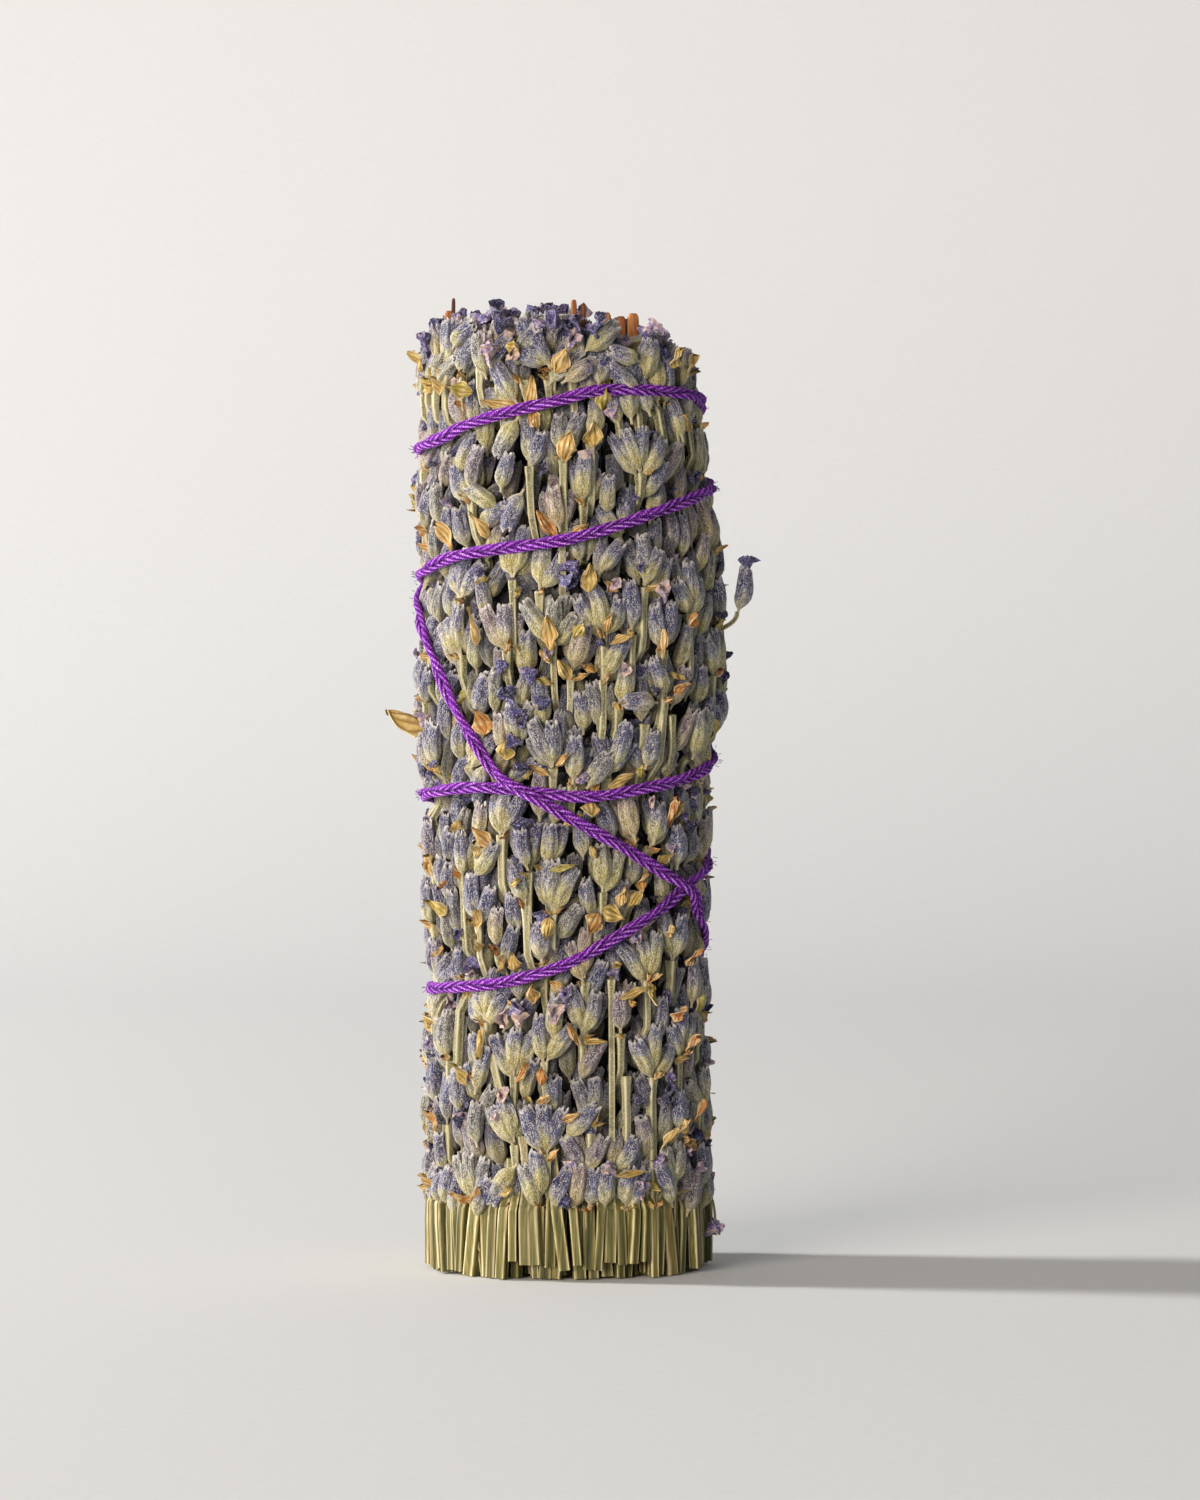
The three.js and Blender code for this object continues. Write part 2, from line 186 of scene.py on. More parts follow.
cordSamples = alongRoute(cord["route"], 600)
tailSamples = [alongRoute(tail, 12) for tail in cord["tails"]]
pressSamples = np.concatenate([cordSamples, *tailSamples])


def surfaceDistance(turn, z, samples):
    across = (turn - samples[:, 0] + 180) % 360 - 180
    return np.hypot(np.radians(across) * outlineAt(z)[0], z - samples[:, 1]).min()


def pressedIn(turn, z):
    d = surfaceDistance(turn, z, pressSamples)
    return cord["press"] * (1 - smoothstep(d, *cord["pressBetween"]))


# Where two turns of cord cross, the later one rises and the earlier one sinks.
def liftedOver(sample):
    crossing, lift = cord["crossing"], 0
    for sign, share in ((1, crossing["rise"]), (-1, crossing["sink"])):
        others = cordSamples[sign * (sample[0] - cordSamples[:, 0]) > crossing["turnsApart"]]
        if len(others):
            d = surfaceDistance(*sample, others)
            lift += sign * share * cord["width"] * (1 - smoothstep(d, *crossing["between"]))
    return lift


def linear(colour):
    parts = [int(colour[k:k + 2], 16) / 255 for k in (1, 3, 5)]
    return [c / 12.92 if c <= 0.04045 else ((c + 0.055) / 1.055) ** 2.4 for c in parts] + [1]


# Adds a node with its settings and links, and gives one of its outputs.
def addNode(tree, kind, inputs=None, out=0, ramp=None, **settings):
    made = tree.nodes.new("ShaderNode" + kind)
    for name, value in settings.items():
        setattr(made, name, value)
    for stop, (place, colour) in enumerate(ramp or []):
        stops = made.color_ramp.elements
        element = stops[stop] if stop < 2 else stops.new(place)
        element.position, element.color = place, linear(colour)
    for key, value in (inputs or {}).items():
        socket = made.inputs[key]
        if isinstance(value, bpy.types.NodeSocket):
            tree.links.new(value, socket)
        else:
            socket.default_value = linear(value) if isinstance(value, str) else value
    return made.outputs[out]


# What each point of a mesh carries for the materials: its share of the way along, ribs
# from -1 to 1, its share of the way round, and tint, age and painted shade for the whole
# flower. The painted shade darkens the colour deeper in the bunch and in its gaps, where
# shade falls. On the cord the tint carries the painted shade where the plies meet.
traits = ("along", "rib", "around", "tint", "age", "shade")


def newMaterial(name, **sockets):
    material = bpy.data.materials.new(name)
    material.use_nodes = True
    tree = material.node_tree
    shader = tree.nodes["Principled BSDF"]
    for key, value in sockets.items():
        socket = shader.inputs[key.replace("_", " ")]
        socket.default_value = linear(value) if isinstance(value, str) else value
    own = {trait: addNode(tree, "Attribute", out="Fac", attribute_name=trait) for trait in traits}
    own["place"] = addNode(tree, "TexCoord", out="Object")
    return material, tree, shader.inputs, own


def perMm(size):
    return 1 / (size * mm)


# Lays coats of colour over a skin. Each has a value, the two marks of that value between
# which the coat comes in, its full weight and its colour.
def addCoats(tree, skin, coats):
    for value, start, end, weight, colour in coats:
        share = addNode(tree, "MapRange", {0: value, 1: start, 2: end, 3: 0.0, 4: weight})
        skin = addNode(tree, "Mix", {0: share, 6: skin, 7: colour}, out=2, data_type="RGBA")
    return skin


# Moves a value with a pattern: by the first shift where the pattern is at its first mark,
# and by the second where it is at its second.
def shifted(tree, value, pattern, marks, shifts):
    shift = addNode(tree, "MapRange", {0: pattern, 1: marks[0], 2: marks[1], 3: shifts[0], 4: shifts[1]})
    return addNode(tree, "Math", {0: value, 1: shift}, operation="ADD")


# Gives a material its skin, and a relief of a strength and a depth in millimetres.
def dress(tree, shader, skin, height, strength, depth):
    tree.links.new(skin, shader["Base Color"])
    relief = addNode(tree, "Bump", {"Height": height, "Strength": strength, "Distance": depth * mm})
    tree.links.new(relief, shader["Normal"])


# Dried lavender calyx, felted with short white hairs: soft, chalky, never glossy.
# Straw-green at the foot, slate violet above, darker between the ribs with painted shade
# in the grooves, a pale frayed rim and painted shade inside the mouth. Cups deeper in carry
# painted shade.
# The hairs are drawn 0.13 mm apart, several times as coarse as the real ones, so that they show.
calyxHairs = {
    "apart": 0.13,
    "long": 0.75,
    "cupRound": 6.3,
    "cupLength": 5.2,
    "shuffle": 97.0,  # sets the hairs of one cup apart from those of the next
}


def calyxFelt():
    material, tree, shader, own = newMaterial(
        "calyxFelt", Roughness=0.92, Sheen_Weight=0.6, Sheen_Roughness=0.5,
        Sheen_Tint="#eae6e2", Specular_IOR_Level=0.2)
    blotch = addNode(tree, "TexNoise", {"Vector": own["place"], "Scale": perMm(1.2), "Detail": 2.0})
    place = shifted(tree, own["along"], blotch, (0.3, 0.7), (-0.13, 0.13))
    place = shifted(tree, place, own["tint"], (0.0, 1.0), (-0.22, 0.2))
    skin = addNode(tree, "ValToRGB", {"Fac": place}, ramp=[
        (0.0, "#9a9044"), (0.2, "#b0a55f"), (0.38, "#aba67c"), (0.54, "#80818d"),
        (0.7, "#4f547b"), (0.86, "#323766"), (1.0, "#464a7c")])
    # darker colours between the ribs: the skin there, with painted shade in the grooves
    furrowSkinAndShade = addNode(tree, "ValToRGB", {"Fac": place}, ramp=[
        (0.1, "#7d7430"), (0.45, "#69664a"), (0.7, "#2f3050"), (1.0, "#23233c")])
    counts = {"around": calyxHairs["cupRound"] / calyxHairs["apart"],
              "along": calyxHairs["cupLength"] / calyxHairs["long"], "tint": calyxHairs["shuffle"]}
    lie = addNode(tree, "CombineXYZ", {
        axis: addNode(tree, "Math", {0: own[trait], 1: count}, operation="MULTIPLY")
        for axis, (trait, count) in enumerate(counts.items())})
    hairs = addNode(tree, "TexNoise", {"Vector": lie, "Scale": 1.0, "Detail": 1.0})
    fleck = addNode(tree, "TexNoise", {"Vector": own["place"], "Scale": perMm(0.14), "Detail": 0.0})
    wool = addNode(tree, "Math", {0: hairs, 1: fleck}, operation="ADD")
    skin = addCoats(tree, skin, [
        (own["age"], 0.78, 1.0, 0.6, "#a98a6a"),  # some are brown
        (own["age"], 0.3, 0.0, 0.5, "#9a9750"),  # and some still green
        # darker between the ribs: the skin there, with painted shade in the grooves
        (own["rib"], 0.5, -1.0, 0.85, furrowSkinAndShade),
        (wool, 0.93, 1.3, 0.58, "#dcdad2"),  # pale hairs
        (wool, 0.96, 0.7, 0.42, "#38364a"),  # and the skin between them
        (own["along"], 0.17, 0.1, 0.75, "#cdc3a2"),  # stalk
        (own["along"], 0.92, 1.0, 0.7, "#d6d3d0"),  # frayed rim
        (own["along"], 1.02, 1.1, 1.0, "#231f2b"),  # painted shade inside the mouth
        (own["shade"], 0.0, 1.0, 0.85, "#1c1b1c"),  # painted shade, darker further in
    ])
    dress(tree, shader, skin, wool, 0.7, 0.14)
    return material


# Dried square stem, ribbed: straw edges over olive grooves, with a dull waxy skin. Higher
# up it is greyer, with short pale hairs.
def stemStraw():
    material, tree, shader, own = newMaterial("stemStraw", Roughness=0.62, Specular_IOR_Level=0.35)
    drawnOut = addNode(tree, "Mapping", {"Vector": own["place"], "Scale": (1, 1, 0.04)})
    fibre = addNode(tree, "TexNoise", {"Vector": drawnOut, "Scale": perMm(0.2), "Detail": 3.0})
    edge = addNode(tree, "MapRange", {0: own["rib"], 1: -0.1, 2: 0.9, 3: 0.3, 4: 0.92})
    edge = shifted(tree, edge, fibre, (0.3, 0.7), (-0.2, 0.2))
    edge = shifted(tree, edge, own["tint"], (0.0, 1.0), (-0.22, 0.14))
    foot = addNode(tree, "ValToRGB", {"Fac": edge}, ramp=[
        (0.0, "#2b2c12"), (0.3, "#605e2e"), (0.58, "#8b824b"), (0.95, "#dccfa6")])
    head = addNode(tree, "ValToRGB", {"Fac": edge}, ramp=[
        (0.0, "#4d4b30"), (0.3, "#85805a"), (0.6, "#aca780"), (0.95, "#cdc8a8")])
    fleck = addNode(tree, "TexNoise", {"Vector": own["place"], "Scale": perMm(0.16), "Detail": 1.0})
    hairs = addNode(tree, "MapRange", {0: fleck, 1: 0.52, 2: 0.66, 3: 0.0, 4: 0.45})
    hairs = addNode(tree, "Math", {0: hairs, 1: own["along"]}, operation="MULTIPLY")
    skin = addCoats(tree, foot, [
        (own["along"], 0.0, 1.0, 1.0, head),
        (own["age"], 0.6, 1.0, 0.65, "#86603a"),  # some are brown
        (hairs, 0.0, 1.0, 1.0, "#d6d3c2"),
        # painted shade on stems deeper in the bunch and in its gaps
        (own["shade"], 0.0, 1.0, 0.85, "#1d1b10"),
    ])
    dress(tree, shader, skin, fibre, 0.6, 0.1)
    return material


# Cut end of a stem: dry pith, pale and spongy inside a darker skin.
def stemPith():
    material, tree, shader, own = newMaterial("stemPith", Roughness=0.9)
    spots = addNode(tree, "TexNoise", {"Vector": own["place"], "Scale": perMm(0.18), "Detail": 2.0})
    skin = addNode(tree, "ValToRGB", {"Fac": spots}, ramp=[(0.35, "#6a6138"), (0.6, "#bdb184")])
    tree.links.new(skin, shader["Base Color"])
    return material


# Papery bract, dried and crumpled: olive to tan or rust, with darker veins along it and
# paler worn edges.
def bractPaper():
    material, tree, shader, own = newMaterial("bractPaper", Roughness=0.7, Specular_IOR_Level=0.3)
    skin = addNode(tree, "ValToRGB", {"Fac": own["tint"]}, ramp=[
        (0.0, "#8b8a38"), (0.2, "#a8974a"), (0.45, "#c6a768"), (0.7, "#c39356"),
        (0.88, "#b3743c"), (1.0, "#a05a2c")])
    worn = addNode(tree, "TexNoise", {"Vector": own["place"], "Scale": perMm(0.8), "Detail": 3.0})
    edge = addNode(tree, "Math", {0: own["around"]}, operation="ABSOLUTE")
    skin = addCoats(tree, skin, [
        (worn, 0.45, 0.68, 0.75, "#e2cf9f"),
        (own["rib"], 0.4, -1.0, 0.8, "#76571f"),
        (edge, 0.82, 1.0, 0.55, "#ead9ae"),
    ])
    grain = addNode(tree, "TexNoise", {"Vector": own["place"], "Scale": perMm(0.22), "Detail": 2.0})
    dress(tree, shader, skin, grain, 0.5, 0.12)
    return material


# Dried corolla, shrivelled in its calyx: inky violet with lilac folds, or faded to rose.
def corollaDry():
    material, tree, shader, own = newMaterial("corollaDry", Roughness=0.85, Sheen_Weight=0.2)
    folds = addNode(tree, "TexNoise", {"Vector": own["place"], "Scale": perMm(0.4), "Detail": 2.0})
    place = shifted(tree, own["tint"], folds, (0.3, 0.7), (-0.26, 0.26))
    skin = addNode(tree, "ValToRGB", {"Fac": place}, ramp=[
        (0.0, "#1f1e3c"), (0.3, "#37346c"), (0.5, "#5a5085"), (0.68, "#8c7c9c"),
        (0.85, "#bfa5a3"), (1.0, "#cbb09c")])
    fleck = addNode(tree, "TexNoise", {"Vector": own["place"], "Scale": perMm(0.15), "Detail": 1.0})
    skin = addCoats(tree, skin, [
        (fleck, 0.56, 0.68, 0.55, "#d4d2dc"),
        # painted shade on corollas deeper in
        (own["shade"], 0.0, 1.0, 0.85, "#14121c"),
    ])
    dress(tree, shader, skin, fleck, 0.6, 0.1)
    return material


# Broken brown stem, woody and dry: orange-brown with darker fibres and grey weathering.
def twigBrown():
    material, tree, shader, own = newMaterial("twigBrown", Roughness=0.8)
    drawnOut = addNode(tree, "Mapping", {"Vector": own["place"], "Scale": (1, 1, 0.1)})
    fibre = addNode(tree, "TexNoise", {"Vector": drawnOut, "Scale": perMm(0.3), "Detail": 3.0})
    tone = addNode(tree, "Math", {0: fibre, 1: own["tint"]}, operation="ADD")
    skin = addNode(tree, "ValToRGB", {"Fac": tone}, ramp=[
        (0.3, "#4a2c1a"), (0.55, "#8a5430"), (0.75, "#b0713e"), (1.0, "#cfa977")])
    dress(tree, shader, skin, fibre, 0.7, 0.1)
    return material


# Soft cotton cord, dyed purple: matt, with a painted lilac highlight on the raised threads,
# painted deep plum shade between them, and painted shade where the plies meet.
def cordCotton():
    material, tree, shader, own = newMaterial(
        "cordCotton", Roughness=0.8, Sheen_Weight=0.14, Sheen_Roughness=0.5, Sheen_Tint="#a860d0",
        Specular_IOR_Level=0.12)
    fibre = addNode(tree, "TexNoise", {"Vector": own["place"], "Scale": perMm(0.14), "Detail": 1.0})
    # painted highlight on the raised threads and painted shade between them
    crest = addNode(tree, "MapRange", {0: own["rib"], 1: -1.0, 2: 1.0, 3: 0.06, 4: 0.78})
    thread = shifted(tree, crest, fibre, (0.3, 0.7), (-0.3, 0.3))
    skin = addNode(tree, "ValToRGB", {"Fac": thread}, ramp=[
        (0.0, "#26063a"), (0.3, "#5c1784"), (0.58, "#9240c0"), (0.92, "#dcaaf8")])
    skin = addCoats(tree, skin, [(own["tint"], 1.0, 0.0, 0.75, "#22073a")])  # painted shade where the plies meet
    dress(tree, shader, skin, thread, 0.7, 0.12)
    return material


finishes = {"felt": calyxFelt(), "straw": stemStraw(), "pith": stemPith(), "paper": bractPaper(),
            "corolla": corollaDry(), "twig": twigBrown(), "cotton": cordCotton()}
finishNames = list(finishes)
print("materials made")

# Meshes are gathered in piles, one pile for each node of the CAD model.
shellTemplates = {}
sharpFrom = 62  # degrees between two faces whose edge stays sharp


def newPile():
    return {"points": [], "loops": [], "totals": [], "finishes": [], "count": 0,
            **{name: [] for name in traits}}


def shellFaces(rings, sides):
    if (rings, sides) not in shellTemplates:
        i, j = np.meshgrid(np.arange(rings - 1), np.arange(sides), indexing="ij")
        n = (j + 1) % sides
        quads = np.stack([i * sides + j, i * sides + n, (i + 1) * sides + n, (i + 1) * sides + j], -1)
        foot = np.arange(sides)[::-1]
        head = (rings - 1) * sides + np.arange(sides)
        loops = np.concatenate([quads.reshape(-1), foot, head])
        totals = np.array([4] * (quads.size // 4) + [sides, sides])
        shellTemplates[rings, sides] = loops, totals
    return shellTemplates[rings, sides]


# A closed skin through rings of points. The ends may have a finish of their own.
def addShell(pile, rings, finish, ends=None, **own):
    loops, totals = shellFaces(*rings.shape[:2])
    slots = np.full(len(totals), finishNames.index(finish))
    slots[-2:] = finishNames.index(ends or finish)
    pile["points"].append(rings.reshape(-1, 3))
    pile["loops"].append(loops + pile["count"])
    pile["totals"].append(totals)
    pile["finishes"].append(slots)
    for name in traits:
        pile[name].append(np.broadcast_to(own.get(name, 0.0), rings.shape[:2]).reshape(-1))
    pile["count"] += rings.shape[0] * rings.shape[1]


def makePiece(name, pile, node):
    loops = np.concatenate(pile["loops"])
    totals = np.concatenate(pile["totals"])
    mesh = bpy.data.meshes.new(name)
    mesh.vertices.add(pile["count"])
    mesh.vertices.foreach_set("co", (np.concatenate(pile["points"]) * mm).reshape(-1))
    mesh.loops.add(len(loops))
    mesh.loops.foreach_set("vertex_index", loops)
    mesh.polygons.add(len(totals))
    mesh.polygons.foreach_set("loop_start", np.cumsum(totals) - totals)
    used = np.concatenate(pile["finishes"])
    kept = sorted(set(used.tolist()))
    for index in kept:
        mesh.materials.append(finishes[finishNames[index]])
    mesh.polygons.foreach_set("material_index", np.searchsorted(kept, used))
    mesh.update(calc_edges=True)
    for trait in traits:
        mesh.attributes.new(trait, "FLOAT", "POINT").data.foreach_set(
            "value", np.concatenate(pile[trait]).astype(np.float32))
    mesh.shade_smooth()
    mesh.set_sharp_from_angle(angle=math.radians(sharpFrom))
    made = bpy.data.objects.new(name, mesh)
    scene.collection.objects.link(made)
    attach(made, "root")
    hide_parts(node)


def unit(vector):
    return vector / np.linalg.norm(vector)


def axesFor(foot, tip, facing):
    up = unit(tip - foot)
    side = unit(np.cross(facing, up))
    return side, np.cross(up, side), up


# Flower cups: a slim pale stalk, a ribbed and felted body, and a frayed hollow mouth.
calyx = {
    "length": (4.3, 5.6),
    "width": (1.6, 2.05),
    "profile": [  # share of the length, share of the half width
        (0.0, 0.17), (0.06, 0.15), (0.12, 0.2), (0.17, 0.46), (0.25, 0.78), (0.36, 0.97), (0.5, 1.0),
        (0.64, 0.97), (0.77, 0.9), (0.88, 0.82), (0.95, 0.78), (1.0, 0.62), (0.98, 0.42), (0.93, 0.2)],
    "sides": 20,
    "ribs": 5,
    "ribDepth": 0.13,
    "flatness": 0.86,
}
plainCalyx = {"profile": calyx["profile"][1:13:2], "sides": 8}  # for those hidden inside


def addCalyx(pile, foot, tip, facing, width, tint, age, shade=0.0, fine=True, bow=0.0):
    kind = calyx if fine else plainCalyx
    share, half = np.array(kind["profile"]).T[:, :, None]
    sides = kind["sides"]
    length = np.linalg.norm(tip - foot)
    side, out, up = axesFor(foot, tip, facing)
    lip = np.arange(len(share)) >= len(share) - 3
    passed = np.where(lip[:, None], 1 + (1 - share) * 2.0, share)  # the inside counts on past 1, for the painted shade inside the mouth
    around = 2 * np.pi * np.arange(sides) / sides - np.pi / 2
    rib = np.cos(calyx["ribs"] * around + rng.uniform(0, 6))[None, :] * smoothstep(share, 0.14, 0.32)
    jitter = np.array([rng.uniform(-1, 1) for _ in range(sides)])
    mouth = smoothstep(share, 0.8, 1.0)
    dents = rng.uniform(0, 6), rng.uniform(0, 6)
    radius = half * width / 2 * (1 + calyx["ribDepth"] * rib) * (
        1 + 0.2 * mouth * jitter + 0.05 * np.sin(2 * around + 5 * share + dents[0])
        + 0.04 * np.sin(3 * around - 7 * share + dents[1]))
    pinch = 1 - rng.uniform(0.0, 0.35) * smoothstep(share, 0.7, 1.0)
    x = radius * np.cos(around)
    y = radius * np.sin(around) * calyx["flatness"] * pinch
    z = share * length + 0.34 * mouth * np.roll(jitter, 3)
    swing = rng.uniform(-0.25, 0.25) * np.sin(np.pi * share)
    points = (foot + (x + swing)[..., None] * side + (y + bow * np.sin(np.pi * share))[..., None] * out
              + z[..., None] * up)
    addShell(pile, points, "felt", along=passed, rib=rib, around=np.arange(sides)[None, :] / sides,
             tint=tint, age=age, shade=shade)


corolla = {"profile": [(-0.6, 0.3), (0.0, 0.5), (0.5, 0.62), (0.95, 0.95), (1.2, 1.05),
                       (1.05, 0.72), (0.6, 0.35), (0.2, 0.15)],
           "sides": 12, "crumple": 0.34, "lobes": 3}


def addCorolla(pile, mouth, direction, facing, size, tint, shade=0.0):
    side, out, up = axesFor(mouth, mouth + direction, facing)
    height, half = np.array(corolla["profile"]).T[:, :, None]
    sides = corolla["sides"]
    around = 2 * np.pi * np.arange(sides) / sides
    shape = (len(corolla["profile"]), sides)
    crumple = np.array([rng.gauss(0, 1) for _ in range(shape[0] * sides)]).reshape(shape)
    crumple = (crumple + np.roll(crumple, 1, 1)) / 2
    lobes = 1 + 0.25 * np.cos(corolla["lobes"] * around + rng.uniform(0, 6)) * smoothstep(height, 0.2, 1.0)
    radius = half * size * lobes * (1 + corolla["crumple"] * crumple)
    x = radius * np.cos(around)
    y = radius * np.sin(around) * rng.uniform(0.5, 0.9)
    z = (height + corolla["crumple"] * np.roll(crumple, 2, 1)) * size
    points = mouth + x[..., None] * side + y[..., None] * out + z[..., None] * up
    addShell(pile, points, "corolla", along=height, tint=np.clip(tint + 0.15 * crumple, 0, 1), shade=shade)


# Papery bracts: thin pointed scales, veined, folded and crumpled.
bract = {"length": (2.0, 3.6), "width": (0.9, 2.0), "thickness": 0.12, "across": 13, "along": 12,
         "veins": 7, "veinDepth": 0.05, "crumple": 0.12}


def addBract(pile, foot, tip, facing, width, tint, curl):
    side, out, up = axesFor(foot, tip, facing)
    length = np.linalg.norm(tip - foot)
    share = np.linspace(0, 1, bract["along"])[:, None]
    across = np.linspace(-1, 1, bract["across"])[None, :]
    widest = rng.uniform(0.3, 0.5)
    spread = 0.12 * (1 - share) + 0.9 * np.minimum(share / widest, (1 - share) / (1 - widest)) ** 0.7
    folds = rng.uniform(0, 6), rng.uniform(0, 6), rng.uniform(3.5, 7.5)
    shape = (bract["along"], bract["across"])
    crumple = np.array([rng.gauss(0, 1) for _ in range(shape[0] * shape[1])]).reshape(shape)
    crumple[1:-1] = (crumple[:-2] + crumple[1:-1] + crumple[2:]) / 3
    vein = np.cos(bract["veins"] * np.pi / 2 * across)
    x = across * spread * width / 2 * (1 + 0.14 * np.roll(crumple, 3, 0) * across ** 2)
    y = (-curl * across ** 2 * spread + 0.3 * np.sin(folds[2] * share + 2.0 * across + folds[0])
         + bract["veinDepth"] * vein + bract["crumple"] * crumple)
    y += rng.uniform(-0.2, 0.6) * share ** 2
    z = share * length + 0.2 * np.sin(3 * across + folds[1]) * share + 0.08 * crumple
    y = y * smoothstep(share, 0, 0.15) + bract["thickness"] / 2
    front = foot + x[..., None] * side + y[..., None] * out + z[..., None] * up
    back = front - bract["thickness"] * out
    points = np.concatenate([front, back[:, ::-1]], 1)
    veins = np.broadcast_to(vein, shape)
    places = np.broadcast_to(across, shape)
    addShell(pile, points[:, ::-1], "paper", along=share, tint=tint,
             rib=np.concatenate([veins, veins[:, ::-1]], 1)[:, ::-1],
             around=np.concatenate([places, places[:, ::-1]], 1)[:, ::-1])


# Square ribbed stems, along a row of middle points and turned so that a side faces out.
stem = {"sides": 16, "rib": 0.16, "node": 0.3}


def addStem(pile, middles, width, facing, spin=0.0, finish="straw", ends="pith", **own):
    along = np.gradient(middles, axis=0)
    along /= np.linalg.norm(along, axis=1)[:, None]
    side = np.cross(facing, along)
    side /= np.linalg.norm(side, axis=1)[:, None]
    out = np.cross(along, side)
    around = 2 * np.pi * np.arange(stem["sides"]) / stem["sides"]
    rib = np.cos(4 * (around - np.pi / 4))
    half = np.broadcast_to(width, len(middles))[:, None] / 2 * (1.04 + stem["rib"] * rib)
    x, y = half * np.cos(around + spin), half * np.sin(around + spin)
    points = middles[:, None, :] + x[..., None] * side[:, None] + y[..., None] * out[:, None]
    addShell(pile, points, finish, ends, rib=rib[None, :], **own)


# What already takes up room: balls that fill each stem and cup.
taken = {"sectors": 24, "balls": np.zeros((24, 14000, 4)), "counts": [0] * 24}


def sectorOf(ball):
    turn = math.degrees(math.atan2(ball[0], -ball[1]))
    return int(turn // (360 / taken["sectors"])) % taken["sectors"]


def take(balls):
    for ball in balls:
        middle = sectorOf(ball)
        for step in (-1, 0, 1):
            sector = (middle + step) % taken["sectors"]
            taken["balls"][sector, taken["counts"][sector]] = ball
            taken["counts"][sector] += 1


def apartFrom(balls, others, slack):
    if not len(others):
        return True
    apart = np.sqrt(((balls[:, None, :3] - others[None, :, :3]) ** 2).sum(-1))
    return (apart - balls[:, None, 3] - others[None, :, 3]).min() > -slack


def isClear(balls, slack):
    sector = sectorOf(balls[len(balls) // 2])
    near = taken["balls"][sector, :taken["counts"][sector]]
    low, high = balls[:, 2].min() - 2.2, balls[:, 2].max() + 2.2
    return apartFrom(balls, near[(near[:, 2] > low) & (near[:, 2] < high)], slack)


# The outer sprigs.
outer = {
    "count": 18,
    "stemsEach": (-5.0, 5.0),  # turns from the sprig's own, for the stems that show
    "pitch": 11.6,  # from one whorl to the next on a stem
    "shift": 4.5,  # how much higher each stem's whorls stand than its neighbour's
    "first": 7.4,
    "belowTop": 7.0,  # the highest whorls under the crown's rim, a little more to the right
    "moreRight": 0.5,
    "spread": (20, 40),  # half the angle that a whorl's cups fan out over
    "cups": (3, 5),  # in the front row of a whorl
    "blueSide": (-150, -52),  # turns whose cups are bluer
    "shownDepth": 1.6,  # a whorl's foot and stem under the outline
    "sunkDepth": 3.9,
    "shownStem": (1.5, 5.5),  # how much of a stem shows under its whorl
    "stemWidth": (0.62, 0.88),
    "corollaShare": 0.12,
    "topFrom": 86,  # whorls above this have more corollas
    "topCorollaShare": 0.5,
    "bractShare": 0.27,
    "seenWidth": 70,  # turns to either side of the front that the photograph shows well
    "pieces": "lavender_outer_sprig",
}


# The same draw as in the CAD source: a number from -1 to 1 for a sprig and a purpose.
def drawn(i, k, purpose):
    keep = 0xFFFFFFFF
    h = ((i * 73856093) ^ (k * 19349663) ^ (purpose * 83492791)) & keep
    h = ((h ^ (h >> 13)) * 1274126177) & keep
    h = ((h ^ (h >> 16)) * 2246822519) & keep
    return (h ^ (h >> 15)) / 2147483648 - 1


outerArc = 360 / outer["count"]  # turns that one sprig takes up
outerTurns = [outerArc * (i + 0.5) - 180 + 0.8 * drawn(i, 0, 2) for i in range(outer["count"])]
outerPiles = [newPile() for _ in outerTurns]


def pileAt(turn):
    nearest = min(range(outer["count"]), key=lambda i: abs((outerTurns[i] - turn + 180) % 360 - 180))
    return outerPiles[nearest]


